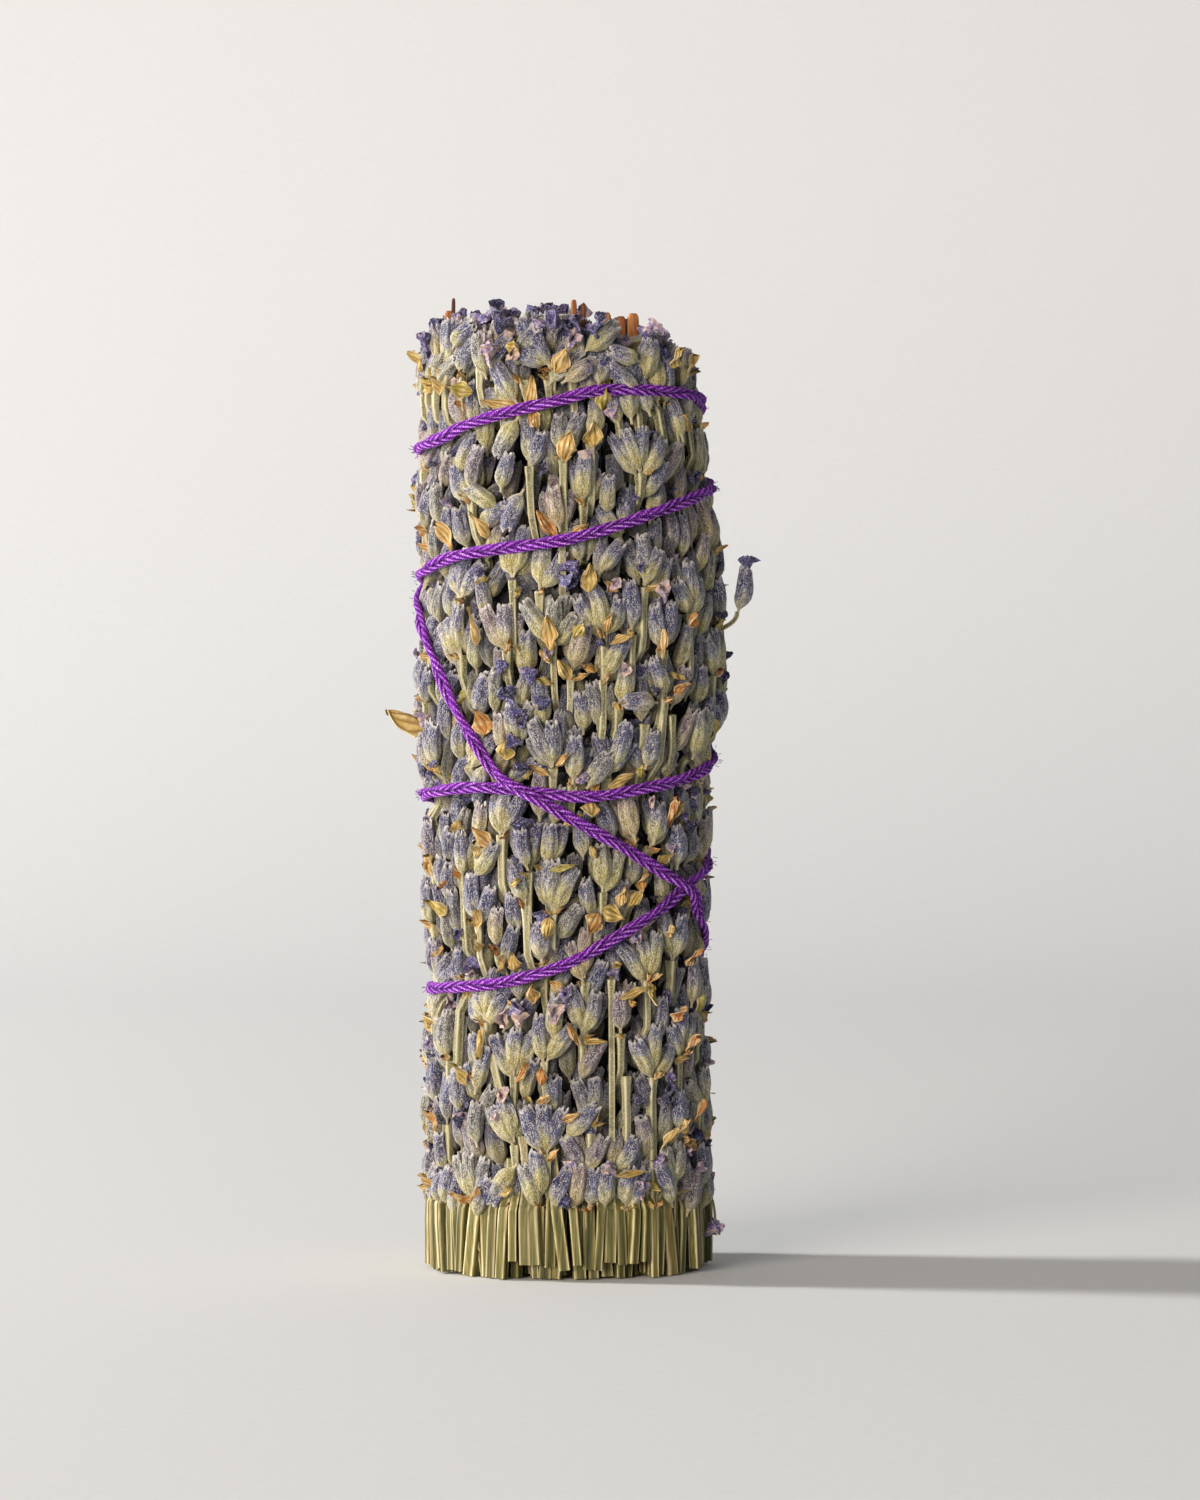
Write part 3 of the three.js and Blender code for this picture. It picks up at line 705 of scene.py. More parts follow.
# What the photograph shows of the flowers, placed by its pixels. A lean or angle is in
# degrees to the right of upright.
seen = {
    "whorls": [  # pixel of the foot, lean, half spread, cups in front, stem that shows (mm)
        (552, 369, -48, 20, 2, 1.4), (515, 408, -30, 33, 5, 0.5), (526, 471, 2, 15, 3, 6.8),
        (563, 459, 3, 18, 4, 7.4), (593, 444, -3, 9, 2, 5.2), (648, 478, 2, 23, 5, 2.6),
        (560, 534, 2, 18, 4, 3.5), (585, 507, 10, 24, 5, 1.6), (463, 505, -3, 20, 3, 4.2),
        (508, 585, 2, 22, 4, 6.0), (537, 596, 6, 20, 3, 2.0), (449, 604, 8, 32, 5, 3.4),
        (650, 592, 4, 24, 5, 5.0), (606, 640, -5, 17, 4, 4.2), (637, 640, -10, 19, 4, 3.0),
        (671, 655, -4, 12, 2, 6.6), (700, 619, -10, 17, 3, 5.4), (551, 648, 0, 25, 5, 4.2),
        (502, 655, -5, 22, 4, 2.0), (452, 660, 3, 17, 3, 4.0), (571, 679, 12, 22, 4, 2.0),
        (605, 685, 8, 28, 4, 4.6), (622, 712, 5, 20, 4, 1.6), (672, 704, -12, 14, 3, 7.0),
        (651, 729, 0, 20, 4, 1.5), (551, 773, -15, 20, 4, 2.0), (573, 790, 4, 24, 4, 0.8),
        (612, 781, 10, 18, 3, 1.0), (651, 777, 4, 20, 4, 1.0), (703, 763, 0, 10, 2, 2.0),
        (459, 771, 14, 16, 3, 2.0), (425, 772, 0, 12, 2, 2.5), (496, 840, 0, 27, 5, 4.4),
        (525, 878, -9, 12, 3, 4.0), (543, 872, 8, 12, 3, 1.0), (469, 845, -8, 12, 3, 2.0),
        (453, 881, 18, 12, 2, 6.8), (643, 848, -6, 18, 4, 1.2), (661, 854, 12, 18, 3, 2.0),
        (687, 877, 0, 10, 2, 1.6), (606, 898, 14, 24, 4, 3.2), (551, 916, 0, 24, 5, 3.0),
        (470, 928, 0, 18, 4, 5.0), (522, 911, -6, 15, 3, 5.0), (637, 896, 4, 16, 3, 2.0),
        (492, 957, -4, 10, 2, 1.0), (540, 968, -4, 15, 3, 1.6), (586, 988, 3, 15, 3, 4.6),
        (655, 986, -3, 26, 6, 4.0), (682, 966, 4, 16, 4, 2.6), (478, 1028, -12, 30, 4, 1.0),
        (584, 1041, 0, 20, 4, 1.0), (509, 1082, 0, 23, 5, 3.2), (542, 1068, 18, 18, 3, 1.4),
        (660, 1083, 0, 28, 6, 12.5), (593, 1129, 2, 19, 4, 1.8), (544, 1160, -6, 20, 5, 2.4),
        (510, 1151, -12, 15, 3, 2.0), (585, 1174, 0, 28, 4, 1.6), (618, 1176, 12, 23, 4, 1.0),
        (466, 1205, 0, 21, 4, 4.0), (538, 1212, 0, 15, 3, 3.0), (590, 1214, -2, 24, 4, 3.0),
        (631, 1213, 6, 18, 3, 3.0), (684, 1196, 0, 14, 3, 3.0), (437, 1066, 0, 14, 3, 3.0),
        (436, 1130, 2, 14, 3, 3.0), (500, 1215, 0, 16, 3, 3.0), (660, 1214, 4, 16, 3, 3.0),
        (690, 1060, 2, 16, 3, 3.0), (626, 1040, 2, 12, 2, 3.0),
    ],
    "stems": [  # pixels of the two ends of long bare stems
        (616, 985, 617, 1235), (632, 1082, 633, 1135), (449, 997, 446, 1065),
        (681, 720, 682, 775),
        (486, 1060, 494, 1092), (519, 1142, 528, 1235),
    ],
    "cups": [  # pixel of the foot, angle, tint
        (517, 414, -145, 0.3), (560, 384, 61, 0.5), (451, 479, 18, 0.5), (480, 485, 31, 0.7),
        (496, 494, 19, 0.6), (497, 509, -59, 0.15), (464, 496, 18, 1.0), (522, 487, -150, 1.0),
        (599, 576, 42, 0.6), (480, 761, -150, 1.0), (587, 791, 30, 0.7), (665, 703, -88, 0.5),
        (467, 880, 41, 0.05), (562, 1142, 45, 0.5), (515, 1163, -142, 0.2), (468, 1097, 20, 0.3),
        (452, 1117, 0, 1.0), (471, 1150, 5, 1.0), (435, 1176, 0, 0.9), (648, 362, -75, 0.3),
        (583, 354, 52, 0.3), (624, 430, -5, 0.7), (637, 426, 3, 0.6), (657, 418, -5, 1.0),
        (692, 444, 0, 0.6), (444, 350, 56, 0.4), (482, 381, -17, 0.8),
        (552, 1045, 5, 0.3), (687, 1135, -3, 1.0), (700, 1010, 0, 0.6),
    ],
    "bracts": [  # pixel of the foot, angle, length, width, tint
        (524, 410, 15, 3.6, 1.5, 0.5), (521, 412, -75, 4.8, 1.6, 0.45), (528, 411, 160, 2.2, 1.6, 0.55),
        (556, 372, 26, 2.5, 2.0, 0.5), (470, 392, -75, 2.4, 1.8, 0.1), (594, 446, 0, 2.7, 2.1, 0.35),
        (563, 461, 18, 3.2, 2.0, 0.5), (608, 412, 0, 2.4, 2.0, 0.08), (556, 539, -33, 3.5, 1.5, 0.85),
        (570, 538, 54, 2.6, 1.3, 0.6), (481, 537, -25, 2.8, 1.5, 0.45), (438, 552, -10, 3.1, 2.4, 0.5),
        (589, 592, 0, 2.8, 1.9, 0.3), (550, 650, -3, 3.4, 1.9, 0.45), (474, 645, -3, 3.8, 1.1, 0.5),
        (606, 631, 12, 1.8, 0.8, 0.6), (612, 643, 66, 2.2, 0.9, 0.4), (574, 638, 35, 2.0, 1.5, 0.15),
        (667, 657, -12, 2.6, 1.1, 0.65), (697, 627, -45, 2.0, 1.1, 0.85), (677, 693, 45, 1.6, 1.1, 0.9),
        (671, 703, -60, 1.3, 0.8, 0.95), (571, 680, -32, 2.6, 1.3, 0.35), (573, 680, 65, 1.5, 0.7, 0.5),
        (478, 735, -10, 2.6, 2.2, 0.8), (499, 760, 15, 2.2, 1.9, 0.22), (548, 776, -60, 2.2, 0.8, 0.6),
        (556, 766, 42, 1.8, 0.8, 0.7), (614, 788, 60, 2.6, 1.3, 0.35), (563, 826, 60, 2.5, 0.9, 0.35),
        (593, 802, 178, 1.4, 2.1, 0.4), (676, 827, -3, 3.0, 1.2, 0.97), (666, 866, 55, 1.8, 1.0, 0.3),
        (490, 850, -36, 2.8, 1.4, 0.65), (473, 858, 25, 1.9, 0.8, 0.4), (510, 886, 60, 1.5, 1.1, 0.3),
        (549, 872, 74, 3.0, 0.8, 0.0), (443, 915, -58, 2.6, 1.7, 0.2), (475, 928, 29, 2.4, 1.2, 0.5),
        (476, 951, 15, 1.8, 0.9, 0.35), (493, 972, 27, 1.8, 1.0, 0.4), (510, 972, 0, 1.9, 1.7, 0.35),
        (548, 918, 184, 2.4, 1.6, 0.35), (600, 914, -150, 2.4, 2.1, 0.72), (606, 910, 115, 2.2, 2.1, 0.3),
        (630, 907, 33, 2.1, 1.2, 0.3), (621, 906, 5, 1.8, 1.0, 0.45), (621, 999, 68, 3.2, 1.0, 0.35),
        (655, 985, -160, 2.2, 1.5, 0.2), (690, 965, 30, 1.8, 1.1, 0.9), (528, 1005, 10, 2.0, 1.4, 0.55),
        (548, 982, 120, 2.2, 1.0, 0.55), (479, 1029, 172, 3.0, 1.2, 0.35), (580, 1046, -28, 2.8, 0.9, 0.75),
        (585, 1042, 88, 2.4, 0.8, 0.35), (677, 1022, 20, 1.6, 1.0, 0.95), (690, 1052, 10, 1.8, 1.0, 0.95),
        (515, 1083, 35, 2.6, 0.9, 0.85), (541, 1085, 5, 1.9, 1.3, 0.85), (464, 1086, -22, 2.4, 1.1, 0.3),
        (537, 1103, 60, 1.6, 0.8, 0.6), (562, 1121, 65, 2.2, 0.9, 0.55), (433, 1131, -5, 2.0, 1.0, 0.7),
        (430, 1193, 0, 2.1, 1.4, 0.6), (470, 1205, 42, 2.8, 0.8, 0.7), (463, 1203, -52, 1.6, 0.8, 0.8),
        (498, 1195, 62, 2.1, 1.1, 0.3), (548, 1162, 40, 1.7, 0.8, 0.7), (617, 1177, 80, 3.0, 0.8, 0.3),
        (664, 1150, 18, 2.5, 0.9, 0.4), (688, 1134, -36, 2.1, 0.9, 0.5), (698, 1122, 12, 2.1, 0.9, 0.88),
        (418, 372, -8, 2.2, 1.8, 0.3), (437, 395, 10, 2.0, 1.2, 0.4), (505, 345, 100, 2.0, 1.6, 0.2),
        (676, 368, 5, 2.0, 1.4, 0.25), (692, 372, 20, 1.8, 1.3, 0.5),
    ],
    "corollas": [  # pixel, size, tint
        (493, 349, 0.95, 0.75), (509, 354, 0.75, 0.95), (493, 311, 0.8, 0.15), (505, 321, 0.8, 0.1),
        (556, 322, 0.9, 0.4), (562, 326, 0.8, 0.1), (575, 324, 0.9, 0.45), (573, 336, 0.9, 0.75),
        (591, 328, 0.8, 0.3), (651, 330, 0.9, 0.7), (428, 338, 1.0, 0.5), (600, 322, 0.8, 0.3),
        (548, 540, 0.6, 0.2), (565, 578, 0.9, 0.2), (575, 572, 0.8, 0.4), (498, 670, 0.8, 0.3),
        (510, 690, 0.9, 0.2), (530, 680, 0.8, 0.4), (538, 700, 0.9, 0.2), (520, 712, 0.8, 0.3),
        (667, 595, 0.9, 0.8), (498, 1018, 0.85, 0.9), (510, 1012, 0.8, 0.5), (522, 1016, 0.8, 0.95),
        (554, 1011, 0.85, 0.9), (566, 1000, 0.7, 0.5), (499, 1097, 0.75, 0.9), (496, 1121, 0.6, 0.9),
        (456, 1124, 0.8, 0.05), (647, 1187, 0.85, 0.75), (560, 1195, 0.9, 0.3), (566, 1205, 0.8, 0.1),
        (556, 1180, 0.5, 0.4), (630, 668, 0.7, 0.95), (470, 745, 0.6, 0.4), (610, 1165, 0.8, 0.8),
        (660, 801, 0.6, 0.9), (712, 1232, 0.9, 0.6), (640, 940, 0.7, 0.7), (655, 925, 0.7, 0.8),
    ],
}


def whorlHeights(row, turn):
    top = topAt(turn) - outer["belowTop"] - outer["moreRight"] * math.sin(math.radians(turn))
    first = outer["first"] + (row * outer["shift"]) % outer["pitch"]
    heights = [h + rng.uniform(-1.2, 1.2) for h in np.arange(first, top - 6, outer["pitch"])]
    if first > outer["first"] + 5:
        heights.insert(0, outer["first"] + rng.uniform(-0.6, 0.8))
    return heights + [top + rng.uniform(-1.2, 0.6)]


# A stem comes out from between the flowers under its whorl, and shows for a few millimetres.
def growWhorlStem(turn, height, shows, sway=0.0):
    down = np.concatenate([[-0.5, 0.0, 0.6], np.arange(1.6, shows + 4.5, 1.4)])
    z = height - down
    turns = turn + sway * down
    depth = outer["shownDepth"] - 0.15 + (outer["sunkDepth"] - outer["shownDepth"]) * smoothstep(
        down, shows, shows + 3.5)
    press = np.array([0.7 * pressedIn(t, h) for t, h in zip(turns, z)])
    kept = z > 1.0
    middles = at(turns, outlineAt(z)[0] - depth - press, z)[kept]
    if len(middles) < 3:
        return
    width = rng.uniform(*outer["stemWidth"]) * (1 + stem["node"] * (1 - smoothstep(down, 0.1, 1.0)))[kept]
    addStem(pileAt(turn), middles[::-1], width[::-1], outwards(turn), rng.uniform(-0.3, 0.3),
            along=smoothstep(z[kept][::-1], 4, 16)[:, None], tint=rng.random(), age=0.8 * rng.random() ** 2)
    take(np.column_stack([middles, width * 0.5])[down[kept] < shows + 1])


def cupBalls(foot, tip, width):
    return np.array([[*(foot + (tip - foot) * t), width / 2 * r] for t, r in
                     ((0.34, 0.8), (0.52, 0.95), (0.7, 0.95), (0.9, 0.82))])


# The foot and tip of a flower cup, at an angle from upright and a depth under the outline.
def cupOnStem(turn, height, angle, depth, length, width, footDepth):
    a = math.radians(angle)
    out = outlineAt(height)[0]
    tipTurn = turn + math.degrees(length * math.sin(a) / out)
    tipHeight = height + length * math.cos(a)
    footTurn = turn + math.degrees(0.2 * math.sin(a) / out)
    press = max(pressedIn(turn + (tipTurn - turn) * t, height + (tipHeight - height) * t)
                for t in (0.4, 0.7, 1.0))
    foot = at(footTurn, out - footDepth, height + 0.2 * math.cos(a))
    tip = at(tipTurn, outlineAt(tipHeight)[0] - width / 2 * calyx["flatness"] - depth - press, tipHeight)
    return foot, tip


# Grows a cup at the first depth and swing that leaves it room, and tells whether it did.
def growCup(turn, height, angle, own, depths, shades, footDepth, slack, corollas,
            swings=(0, 6, -6, 12, -12), tint=None, age=None):
    length = rng.uniform(*calyx["length"])
    width = rng.uniform(*calyx["width"])
    tone = rng.random(), rng.random()
    tint, age = tone[0] if tint is None else tint, tone[1] if age is None else age
    if outer["blueSide"][0] < turn < outer["blueSide"][1]:
        tint = 0.45 + 0.55 * tint
    bow = rng.uniform(0.0, 0.35)
    hasCorolla, corollaTint = rng.random() < corollas, rng.random() ** 1.5
    # each depth tried comes with its painted shade: the deeper the cup, the darker
    for depth, shade in zip(depths, shades):
        for swing in swings:
            foot, tip = cupOnStem(turn, height, angle + swing, depth, length, width,
                                  max(footDepth, depth + 0.8))
            balls = cupBalls(foot, tip, width)
            if isClear(balls, slack) and apartFrom(balls[2:], np.array(own), 0.38):
                own.extend(balls)
                pile = pileAt(turn)
                addCalyx(pile, foot, tip, outwards(turn), width, tint, age, shade, True, bow)
                if hasCorolla:
                    direction = unit(tip - foot)
                    addCorolla(pile, tip - 0.3 * direction, direction, outwards(turn),
                               rng.uniform(0.65, 1.0), corollaTint, shade)
                return True
    return False


# A whorl: a front row of cups fanned out from one node, and a second row between them.
whorl = {
    # painted shade for each depth tried, darker in the back row
    "front": {"depth": 0.05, "rise": 0.4, "shades": (0.0, 0.1, 0.25)},
    "back": {"depth": 1.25, "rise": 0.9, "shades": (0.25, 0.4, 0.55)},
    "deeper": (0, 0.5, 1.1),  # tried in turn until there is room
    "swings": (0, 4, -4, 9, -9),
    "slack": 0.5,
    "bractLength": (0.9, 1.5),
    "bractWidth": (0.4, 0.7),
}


def growWhorl(turn, height, lean, spread, cups, corollas):
    own, tint, age = [], rng.random(), rng.random()
    front = sorted(np.linspace(-spread, spread, cups), key=abs)
    back = [(a + b) / 2 for a, b in zip(sorted(front), sorted(front)[1:])]
    rows = [(angle, abs(angle), whorl["front"]) for angle in front]
    rows += [(angle, 0, whorl["back"]) for angle in back]
    for angle, bent, row in rows:
        depth, rise = row["depth"] + bent / 90, row["rise"] - bent / 60
        growCup(turn, height + rise + rng.uniform(-0.35, 0.35), lean + angle + rng.uniform(-5, 5), own,
                [depth + more for more in whorl["deeper"]], row["shades"], outer["shownDepth"] - 0.3,
                whorl["slack"], corollas, whorl["swings"],
                float(np.clip(tint + rng.uniform(-0.3, 0.3), 0, 1)),
                float(np.clip(age + rng.uniform(-0.12, 0.12), 0, 1)))
    take(own)
    for _ in range(rng.randint(0, 2)):
        growBract(turn, height + 0.1, lean + rng.choice([-1, 1]) * rng.uniform(15, 75),
                  rng.uniform(*whorl["bractLength"]), rng.uniform(*whorl["bractWidth"]),
                  rng.uniform(0.3, 1.0), 0.3, -0.6)


def growBract(turn, height, angle, length, width, tint, curl, lift):
    a = math.radians(angle)
    out = outlineAt(height)[0]
    tipTurn = turn + math.degrees(length * math.sin(a) / out)
    tipHeight = height + length * math.cos(a)
    press = max(pressedIn(turn, height), pressedIn(tipTurn, tipHeight))
    foot = at(turn, out - 0.7 + 0.5 * lift - 0.8 * press, height)
    tip = at(tipTurn, outlineAt(tipHeight)[0] + lift - 0.8 * press, tipHeight)
    addBract(pileAt(turn), foot, tip, outwards(turn), width, tint, curl)


# the painted shade of each depth: the deeper, the darker
looseCups = {"depths": (-0.1, 0.3, 0.7), "shades": (0.0, 0.12, 0.3), "footDepth": 1.0,
             "slack": 0.7, "swings": (0, 5, -5)}


# First what the photograph shows, then the rest by rule.
def growSeen():
    for x, y, lean, spread, cups, shows in seen["whorls"]:
        growWhorlStem(*seenAt(x, y), shows, rng.uniform(-0.12, 0.12))
    for x, y, footX, footY in seen["stems"]:
        turn, height = seenAt(x, y)
        footTurn, footHeight = seenAt(footX, footY)
        growWhorlStem(turn, height, height - footHeight, (footTurn - turn) / (height - footHeight))
    for x, y, angle, tint in seen["cups"]:
        own = []
        growCup(*seenAt(x, y), angle, own, corollas=0.0, tint=tint, **looseCups)
        take(own)
    for x, y, lean, spread, cups, shows in seen["whorls"]:
        growWhorl(*seenAt(x, y), lean, spread, cups, 0.1)


def growByRule(turn, row):
    heights = whorlHeights(row, turn)
    for height in heights[-1:] if abs(turn) < outer["seenWidth"] else heights:
        growWhorlStem(turn, height, rng.uniform(*outer["shownStem"]), rng.uniform(-0.25, 0.25))
        growWhorl(turn, height, rng.uniform(-12, 12), rng.uniform(*outer["spread"]),
                  rng.randint(*outer["cups"]),
                  outer["topCorollaShare"] if height > outer["topFrom"] else outer["corollaShare"])
        for hand in (-1, 1):
            if rng.random() < outer["bractShare"]:
                growBract(turn, height - 0.4, hand * rng.uniform(8, 70), rng.uniform(*bract["length"]),
                          rng.uniform(*bract["width"]), 0.8 * rng.random(), rng.uniform(0.2, 0.7), -0.5)


growSeen()
print("whorls of the front grown")
for i, turn in enumerate(outerTurns):
    for k, offset in enumerate(outer["stemsEach"]):
        growByRule(turn + offset, 2 * i + k)
print("whorls of the sides and back grown")

# Cups round the foot, cups that fill the gaps, and ones further in that close the view. The
# deeper a cup stands, the more painted shade it carries; those furthest in are painted nearly black.
footCups = {"turnStep": 6.5, "heights": (5.4, 7.4), "spread": 28}
footCupFit = {"depths": (0.0, 0.3, 0.7), "shades": (0.0, 0.0, 0.1), "footDepth": 1.0, "slack": 0.6,
              "corollas": 0.1}
filler = {"turnStep": 5, "heightStep": 1.9, "lowest": 6.4, "highest": 94, "belowTop": 6.8, "spread": 38,
          "sideways": 0.08, "uprightBelow": 12}
fillerFit = {"depths": (0.4, 1.0, 1.7), "shades": (0.15, 0.5, 0.78), "footDepth": 2.4, "slack": 0.35,
             "corollas": 0.1}
deep = {"turnStep": 8, "heightStep": 4.4, "lowest": 9.5, "highest": 92, "belowTop": 8, "depth": 3.5,
        "footDepth": 4.4, "length": 6.0, "width": 2.4, "shade": 0.88}


def turnsBy(step):
    return np.arange(-180, 180, step)


def growFootCups():
    grown = 0
    for turn in turnsBy(footCups["turnStep"]):
        own = []
        grown += growCup(turn + rng.uniform(-2, 2), rng.uniform(*footCups["heights"]),
                         rng.uniform(-1, 1) * footCups["spread"], own, **footCupFit)
        take(own)
    return grown


def fillGaps():
    grown = 0
    for height in np.arange(filler["lowest"], filler["highest"], filler["heightStep"]):
        for turn in turnsBy(filler["turnStep"]):
            here, own = turn + rng.uniform(-2.5, 2.5), []
            if height > topAt(here) - filler["belowTop"]:
                continue
            angle = rng.uniform(-1, 1) * filler["spread"]
            if height > filler["uprightBelow"] and rng.random() < filler["sideways"]:
                angle = rng.choice([-1, 1]) * rng.uniform(60, 150)
            grown += growCup(here, height + rng.uniform(-1, 1), angle, own, **fillerFit)
            take(own)
    return grown


def growDeepCups():
    for height in np.arange(deep["lowest"], deep["highest"], deep["heightStep"]):
        for turn in turnsBy(deep["turnStep"]):
            here = turn + rng.uniform(-3, 3)
            start = min(height + rng.uniform(-1.5, 1.5), topAt(here) - deep["belowTop"])
            foot, tip = cupOnStem(here, start, rng.uniform(-25, 25), deep["depth"] + rng.uniform(-0.4, 0.5),
                                  deep["length"], 2.1, deep["footDepth"])
            addCalyx(pileAt(here), foot, tip, outwards(here), deep["width"], rng.random(), rng.random(),
                     deep["shade"], False)


fills = growFootCups() + fillGaps()
growDeepCups()
print("gaps filled with", fills, "cups")

for x, y, angle, length, width, tint in seen["bracts"]:
    growBract(*seenAt(x, y), angle, length, 1.1 * width, tint, rng.uniform(0.0, 0.35), 0.65)


# Crumbs of dry flower, caught between the cups.
crumbs = {"count": 560, "size": (0.4, 0.8), "depth": (0.6, 1.6), "heights": (8, 95), "bractShare": 0.3}


def addCrumb(turn, height, depth, size, tint, shade=0.0):
    spot = at(turn, outlineAt(height)[0] - depth - pressedIn(turn, height), height)
    lie = unit(np.array([rng.gauss(0, 1) for _ in range(3)]) + outwards(turn))
    across = unit(np.cross(lie, [0.3, 0.5, 0.8]))
    addCorolla(pileAt(turn), spot, lie, across, size, tint, shade)


def growCrumbs():
    for x, y, size, tint in seen["corollas"]:
        turn, height = seenAt(x, y)
        addCrumb(turn, height, 0.35, size, tint)
    caught = 0
    for _ in range(crumbs["count"]):
        turn, height = rng.uniform(-180, 180), rng.uniform(*crumbs["heights"])
        depth, size, tint = rng.uniform(*crumbs["depth"]), rng.uniform(*crumbs["size"]), rng.random()
        spot = at(turn, outlineAt(height)[0] - depth, height)
        if isClear(np.array([[*spot, size * 0.8]]), 0.3):
            caught += 1
            if rng.random() < crumbs["bractShare"]:
                growBract(turn, height, rng.uniform(-180, 180), size * 2.4, size * 1.5, tint, 0.4, -0.4)
            else:
                # crumbs caught between the cups carry a little painted shade
                addCrumb(turn, height, depth, size, 0.85 * tint ** 1.5, 0.15)
    print("crumbs caught:", caught)


growCrumbs()

# The cut stems that the bunch stands on, in rows from the outside inwards.
base = {
    "rows": [(0.66, 4), (2.0, 3), (3.4, 3)],  # depth under the outline, stems for each sprig
    "width": (0.75, 1.5),
    "top": (13, 17),
    "sink": 1.7,  # how far it goes in under the flowers
    "sinkBetween": (6.4, 10.5),
    "uneven": 1.25,  # how much deeper than its row a stem may stand
    "shades": [0.0, 0.0, 0.0, 0.12, 0.35],  # painted shade of the outside stems, some darker at random as gaps between them
    # painted shade of the stems further in
    "innerPaintedShade": 0.2,
    "starts": [0.16, 0.16, 0.3, 0.5],  # heights of the cut ends
    "cutHigher": (-26, 34),  # turns where the outside stems are cut short of the table
    "higherStarts": (1.1, 2.0),
}


def growBase(pile, turn):
    for depth, count in base["rows"]:
        for k in range(count):
            here = turn + outerArc * ((k + 0.5) / count - 0.5) + rng.uniform(-1.1, 1.1)
            start = rng.choice(base["starts"])
            if depth < 1 and base["cutHigher"][0] < here < base["cutHigher"][1]:
                start = rng.uniform(*base["higherStarts"])
            z = np.concatenate([np.arange(start, 5, 1.6), np.arange(5.2, rng.uniform(*base["top"]), 1.8)])
            sunk = base["sink"] * smoothstep(z, *base["sinkBetween"])
            depths = depth + base["uneven"] * rng.random() ** 2 + sunk
            middles = at(here + rng.gauss(0, 0.34) * (z - 5), outlineAt(z)[0] - depths, z)
            width = rng.uniform(*base["width"])
            addStem(pile, middles, width, outwards(here), rng.uniform(-0.3, 0.3), tint=rng.random(),
                    along=smoothstep(z, 7, 16)[:, None], age=0.75 * rng.random() ** 2,
                    shade=rng.choice(base["shades"]) if depth < 1 else base["innerPaintedShade"])


for turn, pile in zip(outerTurns, outerPiles):
    growBase(pile, turn)
print("cut stems grown")

# Loose bits that stick out, as in the CAD source, and a floret that hangs at the foot.
strays = {
    "bract": {"sprig": 4, "turn": -86, "height": 56.6, "root": 14.6, "reach": 19.3, "rise": 1.5},
    "cup": {"sprig": 13, "turn": 84, "height": 66.4, "root": 14.0, "reach": 18.3, "top": 73.4, "width": 1.7},
    "floret": {"sprig": 13, "turn": 80, "height": 9.0, "root": 14.2, "reach": 15.6, "foot": 4.8},
}


def bentPath(root, knee, end, count=9):
    t = np.linspace(0, 1, count)[:, None]
    return (1 - t) ** 2 * root + 2 * t * (1 - t) * knee + t * t * end


def growStrayBract(sprig, turn, height, root, reach, rise):
    addBract(outerPiles[sprig], at(turn, root, height), at(turn, reach, height + rise),
             np.array([0.1, -0.55, 0.83]), 3.2, 0.35, 0.6)


def growStrayCup(sprig, turn, height, root, reach, top, width):
    pile = outerPiles[sprig]
    elbow = at(turn, reach - 0.7, height + 2.4)
    knee = at(turn, reach - 0.6, height + 0.9)
    addStem(pile, bentPath(at(turn, root, height), knee, elbow), 0.5, outwards(0), tint=0.4, along=0.6)
    mouth = at(turn, reach + 0.2, top)
    addCalyx(pile, elbow - [0, 0, 0.3], mouth, outwards(0), width, 0.95, 0.4)
    addCorolla(pile, mouth, unit(mouth - elbow), outwards(0), 0.8, 0.2)


def growStrayFloret(sprig, turn, height, root, reach, foot):
    pile = outerPiles[sprig]
    end = at(turn, reach, foot)
    stalk = bentPath(at(turn, root, height), at(turn, reach, height - 1), end)
    addStem(pile, stalk, 0.3, outwards(0), tint=0.2, along=0.5)
    addCorolla(pile, end, unit(np.array([0.4, -0.3, -1.0])), outwards(0), 0.8, 0.62)


growStrayBract(**strays["bract"])
growStrayCup(**strays["cup"])
growStrayFloret(**strays["floret"])

# The inner sprigs: four stems each, and flowers pressed round them.
inner = {
    "rings": [
        {"piece": "lavender_middle_sprig", "node": "middle_sprig", "count": 9, "phase": 0.5, "out": 8.55},
        {"piece": "lavender_heart_sprig", "node": "heart_sprig", "count": 3, "phase": 0, "out": 3.2},
    ],
    "reach": 2.75,  # from the sprig's middle to its flowers' outside
    "footSpread": 1.25,
    "stemWidth": (1.0, 1.35),
    # the flowers inside carry painted shade
    "flowers": {"from": 9, "to": 84, "pitch": 6.5, "length": 5.8, "width": 2.2, "shade": 0.3},
    "top": 88,
}

innerSprigs = []
for ring in inner["rings"]:
    for i in range(ring["count"]):
        turn = 360 / ring["count"] * (i + ring["phase"]) - 180
        innerSprigs.append({
            "piece": f"{ring['piece']}_{i + 1:02d}", "node": f"{ring['node']}_{i + 1:02d}", "turn": turn,
            "middle": outwards(turn) * ring["out"], "pile": newPile()})


def innerPoint(middle, turn, out, z):
    return middle + outwards(turn) * out + np.array([0, 0, z])


